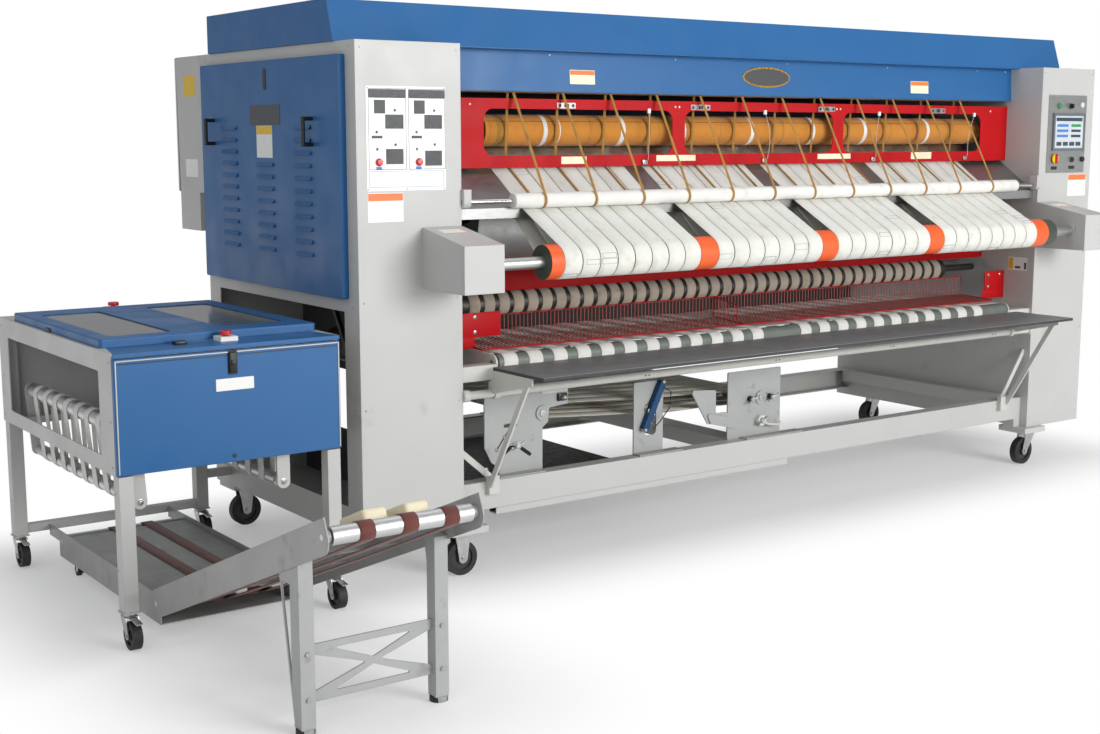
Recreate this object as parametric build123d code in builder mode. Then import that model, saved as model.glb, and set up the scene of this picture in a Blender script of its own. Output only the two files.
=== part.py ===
"""A flatwork ironer: two housings carry a heated cylinder, a feed apron and a delivery bed, with a
primary folder underneath, and a cross folder and a discharge conveyor stand at its left end.

Millimetres, +Z up. The origin is on the floor, under the middle of the whole machine. The operator
stands on the -Y side, and linen leaves through the left (-X) end.
"""
import math
import os

from build123d import *

os.makedirs("parts", exist_ok=True)

# ------------------------------------------------------------------ driving dimensions
inner_width = 3142.0  # between the housings
left_housing_width = 401.0
right_housing_width = 387.0
housing_depth = 1216.0
housing_base = 185.0  # underside of the housings above the floor
housing_top = 1854.0
sheet = 4.0  # folded steel sheet of the casings
crossfold_reach = 850.0  # left housing to the cross folder's far side
conveyor_reach = 1145.0  # housings' front to the conveyor's discharge end
cabinet_depth = 284.0  # electric cabinet behind the left housing
running_gap = 0.05  # radial clearance of a journal in its bearing
belt_gap = 0.5  # belts and chains stay this far off what they run on
journal_end_gap = 1.0  # a journal stops short of what lies beyond its bearing
bearing_length = 24.0
bearing_wall = 18.0  # radial thickness of a bearing's housing

# base
rail_setback = 40.0
rail_width = 60.0
rail_bottom = 223.0
rail_top = 324.0
rail_wall = 5.0
rear_rail_setback = 26.0
cross_member_width = 100.0
cross_member_height = 60.0
cross_member_reach = 1339.0  # left inner wall to the middle cross member
end_member_width = 50.0
pan_reach = 1000.0  # belly pan under the folder's left half
skirt_start = 169.0
skirt_length = 1457.0
skirt_depth = 28.0
outrigger_thickness = 25.0
outrigger_half = 75.0

transfer_window = (240.0, 1080.0, 400.0, 640.0)  # front, back, bottom and top

# hood, canopy and rear cover
hood_height = 140.0
hood_setback = 131.0
hood_lean = 44.0  # the front face leans back by this much
hood_back_setback = 71.0
hood_left_overhang = 9.0
hood_right_setback = 85.0
canopy_setback = 170.0
canopy_lean = 9.0
canopy_bottom = 1705.0
canopy_lip = 14.0
cover_lip = 25.0
rear_cover_bottom = 690.0

# roll guard with its three windows
guard_setback = 190.0
guard_bottom = 1432.0
guard_top = 1680.0
guard_flange = 14.0
guard_sheet = 3.0
window_bottom = 1476.0
window_top = 1643.0
window_radius = 40.0
window_starts = (217.0, 1161.0, 2050.0)  # from the left inner wall
window_lengths = (880.0, 825.0, 903.0)

# heated cylinder and its drive
cylinder_setback = 635.0
cylinder_height = 1290.0
cylinder_radius = 380.0
cylinder_wall = 12.0
cylinder_left_inset = 239.0
cylinder_right_inset = 143.0
cylinder_head_inset = 40.0
cylinder_journal = 60.0
head_hole_radius = 70.0
head_hole_count = 6
sprocket_radius = 170.0
sprocket_width = 10.0
sprocket_inset = 180.0  # left inner wall to the chain's plane
chain_thickness = 14.0
chain_width = 16.0
drive_sprocket_radius = 60.0
drive_setback = 425.0
drive_height = 760.0
gearbox_width = 190.0
gearbox_height = 200.0
motor_radius = 62.0
motor_length = 260.0

# pressure roller
pressure_setback = 290.0
pressure_height = 1566.0
pressure_radius = 58.0
pressure_left_inset = 254.0
pressure_right_inset = 143.0
pressure_journal = 20.0
roller_wall = 6.0

# feed roller, its arm boxes, aprons and the guide roller
feed_reach = 180.0
feed_height = 1120.0
feed_radius = 58.0
feed_left_inset = 209.0
feed_right_inset = 168.0
feed_journal = 21.0
arm_reach = 262.0
arm_width = 156.0
arm_bottom = 1035.0
arm_front_top = 1194.0
arm_back_top = 1243.0
slot_radius = 15.5  # crescent slot in the right arm box
slot_width = 11.0
slot_drop = 62.0
guide_setback = 5.0
guide_height = 1322.0
guide_radius = 27.0
guide_left_inset = 214.0
guide_right_inset = 163.0
guide_journal = 9.0
guide_bracket_width = 30.0
guide_bracket_radius = 22.0
guide_end_round = 4.0
apron_start = 262.0  # left inner wall to the first apron belt
apron_pitch = 77.0
apron_seam = 2.0
apron_groups = (8, 7, 7, 8)
apron_thickness = 3.0
band_width = 86.0  # orange band between two groups
band_rise = 2.5
end_band_width = 81.0
nose_setback = 262.0
nose_height = 1446.0
nose_radius = 10.0
feed_plate_length = 278.0
feed_plate_lip = 36.0
feed_plate_sheet = 3.0

# guide tapes
tape_count = 12
tape_start = 340.0
tape_pitch = 223.0
tape_width = 12.0
tape_thickness = 1.5
tape_gap = 0.4
tape_bar_setback = 205.0
tape_bar_height = 1712.0
tape_bar_radius = 12.0
nip_bar_setback = 228.0
nip_bar_height = 1450.0
nip_bar_radius = 5.0

# exit roller and its ribbons
exit_setback = 360.0
exit_height = 921.0
exit_radius = 45.0
exit_left_inset = 199.0
exit_right_inset = 243.0
exit_journal = 15.0
exit_ribbon_count = 40
exit_ribbon_pitch = 66.3
exit_ribbon_width = 46.0
stripper_setback = 440.0
stripper_height = 940.0
stripper_radius = 8.0

# finger guard
net_front_setback = 170.0
net_back_setback = 300.0
net_height = 800.0
net_top = 885.0
net_thickness = 2.5
net_left_inset = 150.0
net_right_inset = 150.0
net_pitch = 22.0
net_wire = 5.0
net_border = 8.0
guard_plate_bottom = 828.0
guard_plate_top = 917.0
guard_plate_left = 269.0
guard_plate_right = 141.0
red_bar_setback = 300.0
red_bar_bottom = 972.0
red_bar_top = 1060.0

# delivery bed, roller and ribbons
delivery_setback = 45.0
delivery_height = 750.0
delivery_radius = 30.0
delivery_left_inset = 164.0
delivery_right_inset = 165.0
delivery_journal = 12.0
delivery_back_setback = 620.0
cheek_gap = 8.0
cheek_thickness = 8.0
cheek_height = 62.0
bed_sheet = 3.0
bed_beam_width = 50.0
bed_beam_height = 54.0
ribbon_pitch = 109.0
ribbon_width = 60.0
ribbon_thickness = 2.0
ribbon_starts = (213.0, 1682.0)
ribbon_counts = (12, 11)

# catch shelf and its supports
shelf_left_inset = 119.0
shelf_right_inset = 130.0
shelf_front_reach = 315.0
shelf_back_reach = 10.0
shelf_top = 745.0
shelf_thickness = 12.0
shelf_edge = 1.5
support_tube_setback = 5.0
support_tube_height = 650.0
support_tube_radius = 15.0
strut_width = 22.0
strut_thickness = 8.0
collar_radius = 21.0
collar_length = 24.0
strut_setback = 70.0
gusset_front_drop = 26.0
wall_brace_rises = (130.0, 226.0)

# primary folder
folder_plate = 6.0
fold_left_reach = 402.0  # left inner wall to the fold rollers' axes
fold_left_height = 536.0
fold_right_reach = 1505.0
fold_right_height = 482.0
fold_radius = 24.0
fold_journal = 10.0
fold_end_gap = 14.0  # folder plate to the roller's end
fold_belt_inset = 25.0
folder_foot_width = 46.0
folder_foot_thickness = 5.0
folder_corner = 6.0
left_plate_corners = (  # from the left inner wall, and height
    (213.0, rail_top),
    (405.0, rail_top),
    (405.0, 480.0),
    (430.0, 500.0),
    (436.0, 552.0),
    (522.0, 560.0),
    (522.0, 622.0),
    (149.0, 636.0),
    (149.0, 432.0),
    (178.0, 376.0),
    (213.0, 352.0),
)
centre_plate_span = ((838.0, rail_top), (985.0, 605.0))
right_plate_span = ((1326.0, rail_top), (1619.0, 600.0))
folder_feet = ((186.0, 389.0), (833.0, 1050.0), (1392.0, 1709.0))
centre_window_span = ((890.0, 392.0), (950.0, 520.0))
centre_window_corner = 20.0
air_cylinder_ends = ((968.0, 601.0), (878.0, 420.0))
air_cylinder_size = 26.0
bolt_slots = ((262.0, 505.0, 0.0), (245.0, 410.0, 35.0), (330.0, 400.0, -35.0))  # and their slope
bolt_slot_size = (58.0, 14.0)
lever_corners = (
    (1127.0, 547.0),
    (1262.0, 536.0),
    (1262.0, 440.0),
    (1326.0, 440.0),
    (1326.0, 400.0),
    (1220.0, 400.0),
)
lever_corner = 10.0
cam_corners = (
    (1210.0, 445.0),
    (1232.0, 400.0),
    (1345.0, 372.0),
    (1379.0, 367.0),
    (1388.0, 392.0),
    (1330.0, 420.0),
)
cam_corner = 8.0
knob_places = ((1500.0, 389.0, 22.0), (1444.0, 482.0, 12.0), (1556.0, 482.0, 12.0), (282.0, 430.0, 14.0))
knob_depth = 22.0

# electric cabinet
cabinet_width = 500.0
cabinet_bottom = 1325.0
cabinet_door_thickness = 12.0
gasket = 5.0
lower_box_width = 300.0
lower_box_drop = 150.0
lower_box_start = 70.0
lower_box_depth = 194.0
lock_radius = 14.0
lock_depth = 6.0
cabinet_door_corner = 6.0

# control panel
panel_left_inset = 50.0  # from the right inner wall
panel_width = 282.0
panel_bottom = 1376.0
panel_height = 355.0
panel_thickness = 4.0
panel_corner = 6.0
screen_left_inset = 34.0
screen_width = 238.0
screen_bottom = 1477.0
screen_height = 172.0
screen_rise = 6.0
button_hole = 12.0
button_travel = 5.0
button_edge = 1.5
switch_places = ((125.0, 1682.0), (208.0, 1682.0), (104.0, 1441.0), (233.0, 1436.0))
pilot_places = ((292.0, 1688.0), (314.0, 1437.0))
screen_bezel = 12.0
bezel_rise = 4.0
bezel_wall = 3.0
knob_plate = 5.0
grip_width = 8.0
grip_rise = 10.0
selector_grip = 20.0
main_grip = 44.0

# left end panel
end_panel_thickness = 25.0
end_panel_front = 67.0
end_panel_back = 1187.0
end_panel_bottom = 1010.0
end_panel_top = 1810.0
end_panel_lap = 24.0
lower_opening = (103.0, 1120.0, 295.0, 965.0)  # front, back, bottom and top
louvre_pitch = 43.0
louvre_bottom = 1139.0
louvre_height = 15.0
louvre_rise = 9.0
louvre_skin = 2.0
end_panel_sheet = 3.0
end_panel_corner = 8.0
louvre_columns = ((332.0, 124.0, 11), (629.0, 130.0, 8), (932.0, 130.0, 11))
handle_setbacks = (258.0, 1068.0)
handle_bottom = 1511.0
handle_length = 100.0
handle_reach = 42.0
handle_radius = 7.0
latch_setback = 621.0
latch_height = 1745.0
latch_length = 75.0
latch_width = 22.0
latch_rise = 2.0

# casters of the ironer
wheel_radius = 62.5
wheel_width = 32.0
caster_axle = 7.0
fork_wall = 5.0
fork_gap = 3.0
cheek_overhang = 1.1  # a cheek's foot is this much wider than its width
rim_share = 0.68  # the dish, hub and depth of a wheel's web, as shares of its radius and width
hub_share = 0.34
dish_share = 0.2
caster_trail = 34.0
caster_cheek = 16.0
swivel_race = 12.0
swivel_radius = 28.0
seat_gap = 0.3  # between a turning part and the flat face that it turns on
caster_spots = ((412.0, 48.0), (3574.0, 48.0), (87.0, 1150.0), (3725.0, 1150.0))

# cross folder
crossfold_width = 750.0
crossfold_front = 30.0  # frame's face in front of the housings' front
crossfold_depth = 1140.0
crossfold_bottom = 536.0
crossfold_top = 910.0
crossfold_sheet = 4.0
crossfold_post = 46.0
leg_size = 46.0
leg_inset = 4.0
leg_bottom = 110.0
side_opening = (115.0, 98.0, 49.0, 65.0)  # margins at the front, back, bottom and top
side_opening_corner = 8.0
lid_side_margin = 12.0
lid_front_margin = 125.0
lid_back_margin = 145.0
lid_height = 27.0
lid_sheet = 3.0
lid_corner = 10.0
lid_edge = 5.0
lid_window_corner = 25.0
window_glass = 4.0
lid_window_spans = ((65.0, 268.0), (444.0, 675.0))
lid_window_margins = ((188.0, 273.0), (230.0, 250.0))
front_panel_thickness = 18.0
front_panel_gap = 4.0
front_panel_edge = 5.0
upper_roller_inset = 70.0
upper_roller_height = 657.0
upper_roller_radius = 27.0
lower_roller_height = 441.0
lower_roller_radius = 20.0
left_unit_inset = 85.0
right_unit_inset = 565.0
crossfold_journal = 9.0
arm_plate = 6.0
arm_plate_width = 45.0
arm_plate_setback = 34.0
arm_back_margin = 110.0
fold_belt_count = 8
fold_belt_pitch = 105.0
fold_belt_width = 40.0
stop_button_inset = 402.0
stop_button_setbacks = (84.0, 1090.0)
stop_base = 58.0
stop_base_height = 14.0
stop_head_radius = 20.0
stop_head_height = 12.0
stop_stem = 8.0
strip_drop = 13.0  # blue strip of the frame above the front panel
panel_skin = 3.0
latch_inset = 362.0
latch_size = (30.0, 76.0)
right_bar_radius = 20.0
belt_start = 140.0
fold_roller_margin = 34.0  # arm plate to the end of a cross fold roller
rear_rail_width = 40.0
rear_rail_height = 24.0
dock_bar = 30.0
dock_setback = 1066.0
dock_height = 260.0
tie_bar = (36.0, 118.0, 148.0)  # depth, bottom and top

# cross folder casters
small_wheel_radius = 44.5
small_wheel_width = 30.0
small_trail = 26.0
small_plate = 3.0
small_cheek = 11.0
small_axle = 5.0
small_race_radius = 20.0
small_race = 9.0
foot_plate = 54.0
foot_plate_thickness = 4.0
brake_width = 20.0
brake_reach = 62.0
brake_sheet = 4.0

# discharge conveyor
conveyor_left_reach = 720.0
conveyor_width = 458.0
conveyor_plate = 4.0
tray_bottom = 45.0
tray_top = 140.0
tray_back_setback = 959.0
tray_front_reach = 7.0
corner_setback = 30.0
corner_height = 104.0
tail_setback = 935.0
conveyor_roller_radius = 22.0
discharge_reach = 1110.0
discharge_height = 568.0
discharge_radius = 24.0
conveyor_journal = 8.0
conveyor_belt_width = 44.0
conveyor_belt_thickness = 2.5
incline_belt_offsets = (97.0, 221.0, 345.0)
tray_belt_offsets = (173.0, 297.0)
incline_plate_depth = 90.0
incline_overrun = 33.0
tip_radius = 40.0
slat_width = 70.0
slat_offsets = (146.0, 270.0)
slat_thickness = 5.0
pad_height = 24.0
pad_length = 110.0
pad_corner = 8.0
pad_end_gap = 70.0
slat_start = 70.0
slat_end_gap = 45.0
cross_bar = 40.0
cross_bar_places = (110.0, 420.0, 760.0, 1090.0)
conveyor_bearing = 16.0
roller_end_gap = 3.0
tray_sheet = 3.0
hook_height = 40.0

# conveyor stand
stand_leg = 42.0
stand_reach = 945.0
foot_height = 16.0
foot_radius = 26.0
stand_top = 458.0
brace_bolts = (97.0, 221.0)
brace_thickness = 5.0
gusset_reach = 74.0
gusset_thickness = 5.0
gusset_web = 8.0
gusset_slot_top = 400.0
brace_margin = 17.0
brace_web = 20.0
brace_corner = 3.0
bolt_radius = 6.0
bolt_rise = 5.0
leg_lap = 14.0

# tray wheels
tray_wheel_radius = 20.0
tray_wheel_width = 14.0
tray_wheel_setback = 826.0
tray_wheel_inset = 10.0
tray_axle = 5.0
lug_width = 30.0
lug_gap = 3.0

# ------------------------------------------------------------------ datum faces
overall_width = crossfold_reach + left_housing_width + inner_width + right_housing_width
overall_depth = conveyor_reach + housing_depth + cabinet_depth
left_outer = crossfold_reach - overall_width / 2
left_inner = left_outer + left_housing_width
right_inner = left_inner + inner_width
right_outer = right_inner + right_housing_width
front = conveyor_reach - overall_depth / 2
back = front + housing_depth
crossfold_left = left_outer - crossfold_reach
crossfold_right = crossfold_left + crossfold_width
crossfold_face = front - crossfold_front
crossfold_back = crossfold_face + crossfold_depth
conveyor_left = left_outer - conveyor_left_reach
conveyor_right = conveyor_left + conveyor_width


# ------------------------------------------------------------------ shared shapes
def axis_x(y, z):
    """A plane across an axis that runs along X through (y, z)."""
    return Plane(origin=(0, y, z), x_dir=(0, 1, 0), z_dir=(1, 0, 0))


def axis_y(x, z):
    """A plane across an axis that runs along Y through (x, z)."""
    return Plane(origin=(x, 0, z), x_dir=(-1, 0, 0), z_dir=(0, 1, 0))


def axis_z(x, y):
    """A plane across an upright axis through (x, y)."""
    return Plane(origin=(x, y, 0), x_dir=(1, 0, 0), z_dir=(0, 0, 1))


def disc(axis, start, end, radius, mode=Mode.ADD):
    """A cylinder on an axis, from start to end along it."""
    with BuildSketch(axis.offset(start)) as section:
        Circle(radius)
    extrude(section.sketch, amount=end - start, mode=mode)


def block(x_span, y_span, z_span, mode=Mode.ADD):
    """A straight bar between two corners."""
    middle = ((x_span[0] + x_span[1]) / 2, (y_span[0] + y_span[1]) / 2)
    with BuildSketch(Plane.XY.offset(z_span[0])) as section:
        with Locations(middle):
            Rectangle(x_span[1] - x_span[0], y_span[1] - y_span[0])
    extrude(section.sketch, amount=z_span[1] - z_span[0], mode=mode)


def plate(plane, outline, depth, corner=0.0, mode=Mode.ADD):
    """A plate with a straight-sided outline, its corners rounded, on one side of a plane."""
    with BuildSketch(plane) as section:
        with BuildLine():
            Polyline(*outline, close=True)
        make_face()
        if corner > 0:
            fillet(section.vertices(), radius=corner)
    extrude(section.sketch, amount=depth, mode=mode)


def across_x(x):
    """A plane at x whose own axes are Y and Z, and whose normal is +X."""
    return Plane(origin=(x, 0, 0), x_dir=(0, 1, 0), z_dir=(1, 0, 0))


def across_y(y):
    """A plane at y whose own axes are X and Z, and whose normal is -Y."""
    return Plane(origin=(0, y, 0), x_dir=(1, 0, 0), z_dir=(0, -1, 0))


def rectangle(low, high):
    """The corners of an upright rectangle."""
    return [low, (high[0], low[1]), high, (low[0], high[1])]


def strip(start, end, width):
    """The corners of a straight strip along a centreline."""
    length = math.hypot(end[0] - start[0], end[1] - start[1])
    side_x = -(end[1] - start[1]) / length * width / 2
    side_y = (end[0] - start[0]) / length * width / 2
    return [
        (start[0] - side_x, start[1] - side_y),
        (end[0] - side_x, end[1] - side_y),
        (end[0] + side_x, end[1] + side_y),
        (start[0] + side_x, start[1] + side_y),
    ]


def roller(axis, start, end, radius, wall, journal, journal_start, journal_end):
    """A closed tube with a journal at each end."""
    disc(axis, start, end, radius)
    disc(axis, start + wall, end - wall, radius - wall, mode=Mode.SUBTRACT)
    disc(axis, journal_start, start, journal)
    disc(axis, end, journal_end, journal)


def bearing(axis, start, end, journal):
    """A bearing housing with its bore cut right through what carries it."""
    disc(axis, start, end, journal + bearing_wall)
    disc(axis, start, end, journal + running_gap, mode=Mode.SUBTRACT)


def tangent_points(first, second):
    """Where a straight leg leaves one wheel and meets the next: each wheel is (u, v, radius), and
    its radius is negative when it lies outside the loop."""
    along = second[0] - first[0]
    up = second[1] - first[1]
    heading = math.atan2(up, along) - math.asin((second[2] - first[2]) / math.hypot(along, up))
    side = (-math.sin(heading), math.cos(heading))
    leave = (first[0] - side[0] * first[2], first[1] - side[1] * first[2])
    meet = (second[0] - side[0] * second[2], second[1] - side[1] * second[2])
    return leave, meet


def loop_face(plane, wheels):
    """The area inside a belt that goes round the wheels, anticlockwise on the plane."""
    legs = [tangent_points(wheels[i], wheels[(i + 1) % len(wheels)]) for i in range(len(wheels))]
    with BuildSketch(plane) as area:
        with BuildLine():
            for i, (u, v, radius) in enumerate(wheels):
                arrive = legs[i - 1][1]
                leave = legs[i][0]
                turn_start = math.atan2(arrive[1] - v, arrive[0] - u)
                turn_end = math.atan2(leave[1] - v, leave[0] - u)
                if radius > 0:
                    sweep_angle = (turn_end - turn_start) % (2 * math.pi)
                else:
                    sweep_angle = -((turn_start - turn_end) % (2 * math.pi))
                middle = turn_start + sweep_angle / 2
                crown = (u + abs(radius) * math.cos(middle), v + abs(radius) * math.sin(middle))
                ThreePointArc(arrive, crown, leave)
                Line(leave, legs[i][1])
        make_face()
    return area.sketch


def belts(axis_plane, spans, wheels, thickness):
    """Endless belts round the same wheels, one for each (start, end) span along the axes."""
    outer_wheels = [(u, v, radius + thickness) for u, v, radius in wheels]
    for start, end in spans:
        span_plane = axis_plane.offset(start)
        ring = loop_face(span_plane, outer_wheels) - loop_face(span_plane, wheels)
        extrude(ring, amount=end - start)


def finish(builder, name):
    """Labels a finished piece and writes it out."""
    builder.part.label = name
    export_step(builder.part, f"parts/{name}.step")


# ------------------------------------------------------------------ casters
def caster_fork(axis, start, end, top, trail, wall, cheek, axle):
    """A fork over a wheel between start and end on its axis: two cheeks, a crown whose top is this
    far above the axle and which the wheel trails, and the axle itself."""
    inner = (start - fork_gap, end + fork_gap)
    crown = rectangle((trail - 2 * cheek, top - wall), (trail + 2 * cheek, top))
    cheek_outline = [
        (-cheek_overhang * cheek, 0),
        (cheek_overhang * cheek, 0),
        (trail + 2 * cheek, top - wall),
        (trail + 2 * cheek, top),
        (trail - 2 * cheek, top),
        (trail - 2 * cheek, top - wall),
    ]
    for cheek_start in (inner[0] - wall, inner[1]):
        plate(axis.offset(cheek_start), cheek_outline, wall)
        disc(axis, cheek_start, cheek_start + wall, cheek_overhang * cheek)
    plate(axis.offset(inner[0] - wall), crown, inner[1] - inner[0] + 2 * wall)
    disc(axis, inner[0] - 2 * wall, inner[1] + 2 * wall, axle)


def tread(axis, start, end, radius):
    """A caster wheel: a rounded tread and a hub that stands proud of a dished web."""
    disc(axis, start, end, radius)
    rim = rim_share * radius
    dish = dish_share * (end - start)
    for dish_start in (start, end - dish):
        disc(axis, dish_start, dish_start + dish, rim, mode=Mode.SUBTRACT)
        disc(axis, dish_start, dish_start + dish, hub_share * radius)


outrigger_bottom = housing_base - outrigger_thickness
corner_names = ("front_left", "front_right", "rear_left", "rear_right")
caster_places = [(left_outer + x, front + y) for x, y in caster_spots]
rigid_places = caster_places[0::2]


# ------------------------------------------------------------------ base frame
def channel_rail(x_span, y_span, open_back):
    """A channel between the housings, open towards the machine's middle."""
    block(x_span, y_span, (rail_bottom, rail_top))
    hollow_y = (y_span[0] + rail_wall, y_span[1]) if open_back else (y_span[0], y_span[1] - rail_wall)
    block(x_span, hollow_y, (rail_bottom + rail_wall, rail_top - rail_wall), mode=Mode.SUBTRACT)


rail_front = front + rail_setback
rail_back = rail_front + rail_width
rear_rail_back = back - rear_rail_setback
rear_rail_front = rear_rail_back - rail_width

with BuildPart() as base_frame:
    channel_rail((left_inner, right_inner), (rail_front, rail_back), True)
    channel_rail((left_inner, right_inner), (rear_rail_front, rear_rail_back), False)
    member_starts = (left_inner, left_inner + cross_member_reach, right_inner - end_member_width)
    member_widths = (end_member_width, cross_member_width, end_member_width)
    for member_start, member_width in zip(member_starts, member_widths):
        member_x = (member_start, member_start + member_width)
        block(member_x, (rail_back, rear_rail_front), (rail_top - cross_member_height, rail_top))
    pan_x = (left_inner, left_inner + pan_reach)
    block(pan_x, (rail_back, rear_rail_front), (rail_bottom, rail_bottom + rail_wall))
    skirt_x = (left_inner + skirt_start, left_inner + skirt_start + skirt_length)
    skirt_y = (rail_front + rail_wall * 2, rail_back - rail_wall)
    block(skirt_x, skirt_y, (rail_bottom - skirt_depth, rail_bottom))
    skirt_hollow = (skirt_y[0] + rail_wall, skirt_y[1] - rail_wall)
    block(skirt_x, skirt_hollow, (rail_bottom - skirt_depth + rail_wall, rail_bottom), mode=Mode.SUBTRACT)
    for place_x, place_y in caster_places:
        foot_x = (place_x - outrigger_half, place_x + outrigger_half)
        foot_y = (place_y - outrigger_half, min(place_y + outrigger_half, back))
        block(foot_x, foot_y, (outrigger_bottom, housing_base))
    right_spacer = (caster_places[1][0] - outrigger_half, right_inner)
    left_spacer = (left_inner, caster_places[0][0] + outrigger_half)
    for spacer_x in (left_spacer, right_spacer):
        block(spacer_x, (rail_front, rail_back), (housing_base, rail_bottom))
    for place_x, place_y in rigid_places:
        wheel_y = (place_y - wheel_width / 2, place_y + wheel_width / 2)
        fork_top = outrigger_bottom - wheel_radius
        fork_axis = axis_y(place_x, wheel_radius)
        caster_fork(fork_axis, *wheel_y, fork_top, 0, fork_wall, caster_cheek, caster_axle)

finish(base_frame, "base_frame")

# ------------------------------------------------------------------ wheels and swivel forks
for wheel_name, (place_x, place_y) in zip(corner_names, caster_places):
    with BuildPart() as main_wheel:
        wheel_axis = axis_y(place_x, wheel_radius)
        wheel_start = place_y - wheel_width / 2
        wheel_end = place_y + wheel_width / 2
        tread(wheel_axis, wheel_start, wheel_end, wheel_radius)
        disc(wheel_axis, wheel_start, wheel_end, caster_axle + running_gap, mode=Mode.SUBTRACT)
    finish(main_wheel, f"wheel_{wheel_name}")

for fork_name, (place_x, place_y) in zip(corner_names[1::2], caster_places[1::2]):
    with BuildPart() as swivel_fork:
        wheel_y = (place_y - wheel_width / 2, place_y + wheel_width / 2)
        fork_top = outrigger_bottom - swivel_race - wheel_radius
        fork_axis = axis_y(place_x, wheel_radius)
        caster_fork(fork_axis, *wheel_y, fork_top, -caster_trail, fork_wall, caster_cheek, caster_axle)
        pin_axis = axis_z(place_x + caster_trail, place_y)
        disc(pin_axis, outrigger_bottom - swivel_race, outrigger_bottom - seat_gap, swivel_radius)
    finish(swivel_fork, f"swivel_fork_{fork_name}")


# ------------------------------------------------------------------ housings
cylinder_y = front + cylinder_setback
pressure_y = front + pressure_setback
feed_y = front - feed_reach
guide_y = front + guide_setback
exit_y = front + exit_setback
cylinder_axis = axis_x(cylinder_y, cylinder_height)
pressure_axis = axis_x(pressure_y, pressure_height)
feed_axis = axis_x(feed_y, feed_height)
guide_axis = axis_x(guide_y, guide_height)
exit_axis = axis_x(exit_y, exit_height)
wall_bearings = (
    (cylinder_axis, cylinder_journal),
    (pressure_axis, pressure_journal),
    (exit_axis, exit_journal),
)


def panel_axis(place):
    """The axis of a switch on the control panel, from its (inset, height)."""
    return axis_y(right_inner + place[0], place[1])


def casing(x_span):
    """A closed sheet-metal housing."""
    block(x_span, (front, back), (housing_base, housing_top))
    inside_x = (x_span[0] + sheet, x_span[1] - sheet)
    inside_z = (housing_base + sheet, housing_top - sheet)
    block(inside_x, (front + sheet, back - sheet), inside_z, mode=Mode.SUBTRACT)


def arm_box(x_start, bearing_x):
    """The box on a housing's front that carries one end of the feed roller."""
    side = [
        (front - arm_reach, arm_bottom),
        (front, arm_bottom),
        (front, arm_back_top),
        (front - arm_reach, arm_front_top),
    ]
    plate(across_x(x_start), side, arm_width)
    hollow = [
        (front - arm_reach + sheet, arm_bottom + sheet),
        (front - sheet, arm_bottom + sheet),
        (front - sheet, arm_back_top - 2 * sheet),
        (front - arm_reach + sheet, arm_front_top - sheet),
    ]
    plate(across_x(x_start + sheet), hollow, arm_width - 2 * sheet, mode=Mode.SUBTRACT)
    bearing(feed_axis, bearing_x[0], bearing_x[1], feed_journal)


def guide_bracket(x_start):
    """The small bracket on a housing's inner wall that carries the guide roller's shaft."""
    low = (guide_y - guide_bracket_radius, guide_height)
    high = (guide_y + guide_bracket_radius, guide_height + 2 * guide_bracket_radius)
    plate(across_x(x_start), rectangle(low, high), guide_bracket_width)
    disc(guide_axis, x_start, x_start + guide_bracket_width, guide_bracket_radius)
    hole = guide_journal + running_gap
    disc(guide_axis, x_start, x_start + guide_bracket_width, hole, mode=Mode.SUBTRACT)


with BuildPart() as left_housing:
    casing((left_outer, left_inner))
    for bearing_axis, journal_radius in wall_bearings:
        bearing(bearing_axis, left_inner - sheet - bearing_length, left_inner, journal_radius)
    opening_y = (front + lower_opening[0], front + lower_opening[1])
    block((left_outer, left_outer + sheet), opening_y, lower_opening[2:], mode=Mode.SUBTRACT)
    service_y = (front + end_panel_front + end_panel_lap, front + end_panel_back - end_panel_lap)
    service_z = (end_panel_bottom + end_panel_lap, end_panel_top - end_panel_lap)
    block((left_outer, left_outer + sheet), service_y, service_z, mode=Mode.SUBTRACT)
    transfer_y = (front + transfer_window[0], front + transfer_window[1])
    block((left_inner - sheet, left_inner), transfer_y, transfer_window[2:], mode=Mode.SUBTRACT)
    guide_bracket(left_inner)
    arm_box(left_inner - arm_width, (left_inner - sheet - bearing_length, left_inner))

finish(left_housing, "left_housing")

with BuildPart() as right_housing:
    casing((right_inner, right_outer))
    for bearing_axis, journal_radius in wall_bearings:
        bearing(bearing_axis, right_inner, right_inner + sheet + bearing_length, journal_radius)
    guide_bracket(right_inner - guide_bracket_width)
    arm_box(right_inner, (right_inner, right_inner + sheet + bearing_length))
    with BuildSketch(across_x(right_inner)) as crescent:
        with Locations((feed_y - slot_drop / 2, feed_height)):
            SlotCenterToCenter(slot_radius * 2, slot_width, rotation=90)
    extrude(crescent.sketch, amount=sheet, mode=Mode.SUBTRACT)
    for switch_place in switch_places:
        disc(panel_axis(switch_place), front, front + sheet, button_hole, mode=Mode.SUBTRACT)

finish(right_housing, "right_housing")

# ------------------------------------------------------------------ hood, canopy and rear cover
hood_front = front + hood_setback
hood_back = back - hood_back_setback
hood_left = left_outer - hood_left_overhang
hood_right = right_outer - hood_right_setback

with BuildPart() as top_hood:
    hood_side = [
        (hood_front, housing_top),
        (hood_back, housing_top),
        (hood_back, housing_top + hood_height),
        (hood_front + hood_lean, housing_top + hood_height),
    ]
    plate(across_x(hood_left), hood_side, hood_right - hood_left)
    underside = top_hood.faces().sort_by(Axis.Z)[0]
    offset(amount=-sheet, openings=underside)

finish(top_hood, "top_hood")

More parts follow.
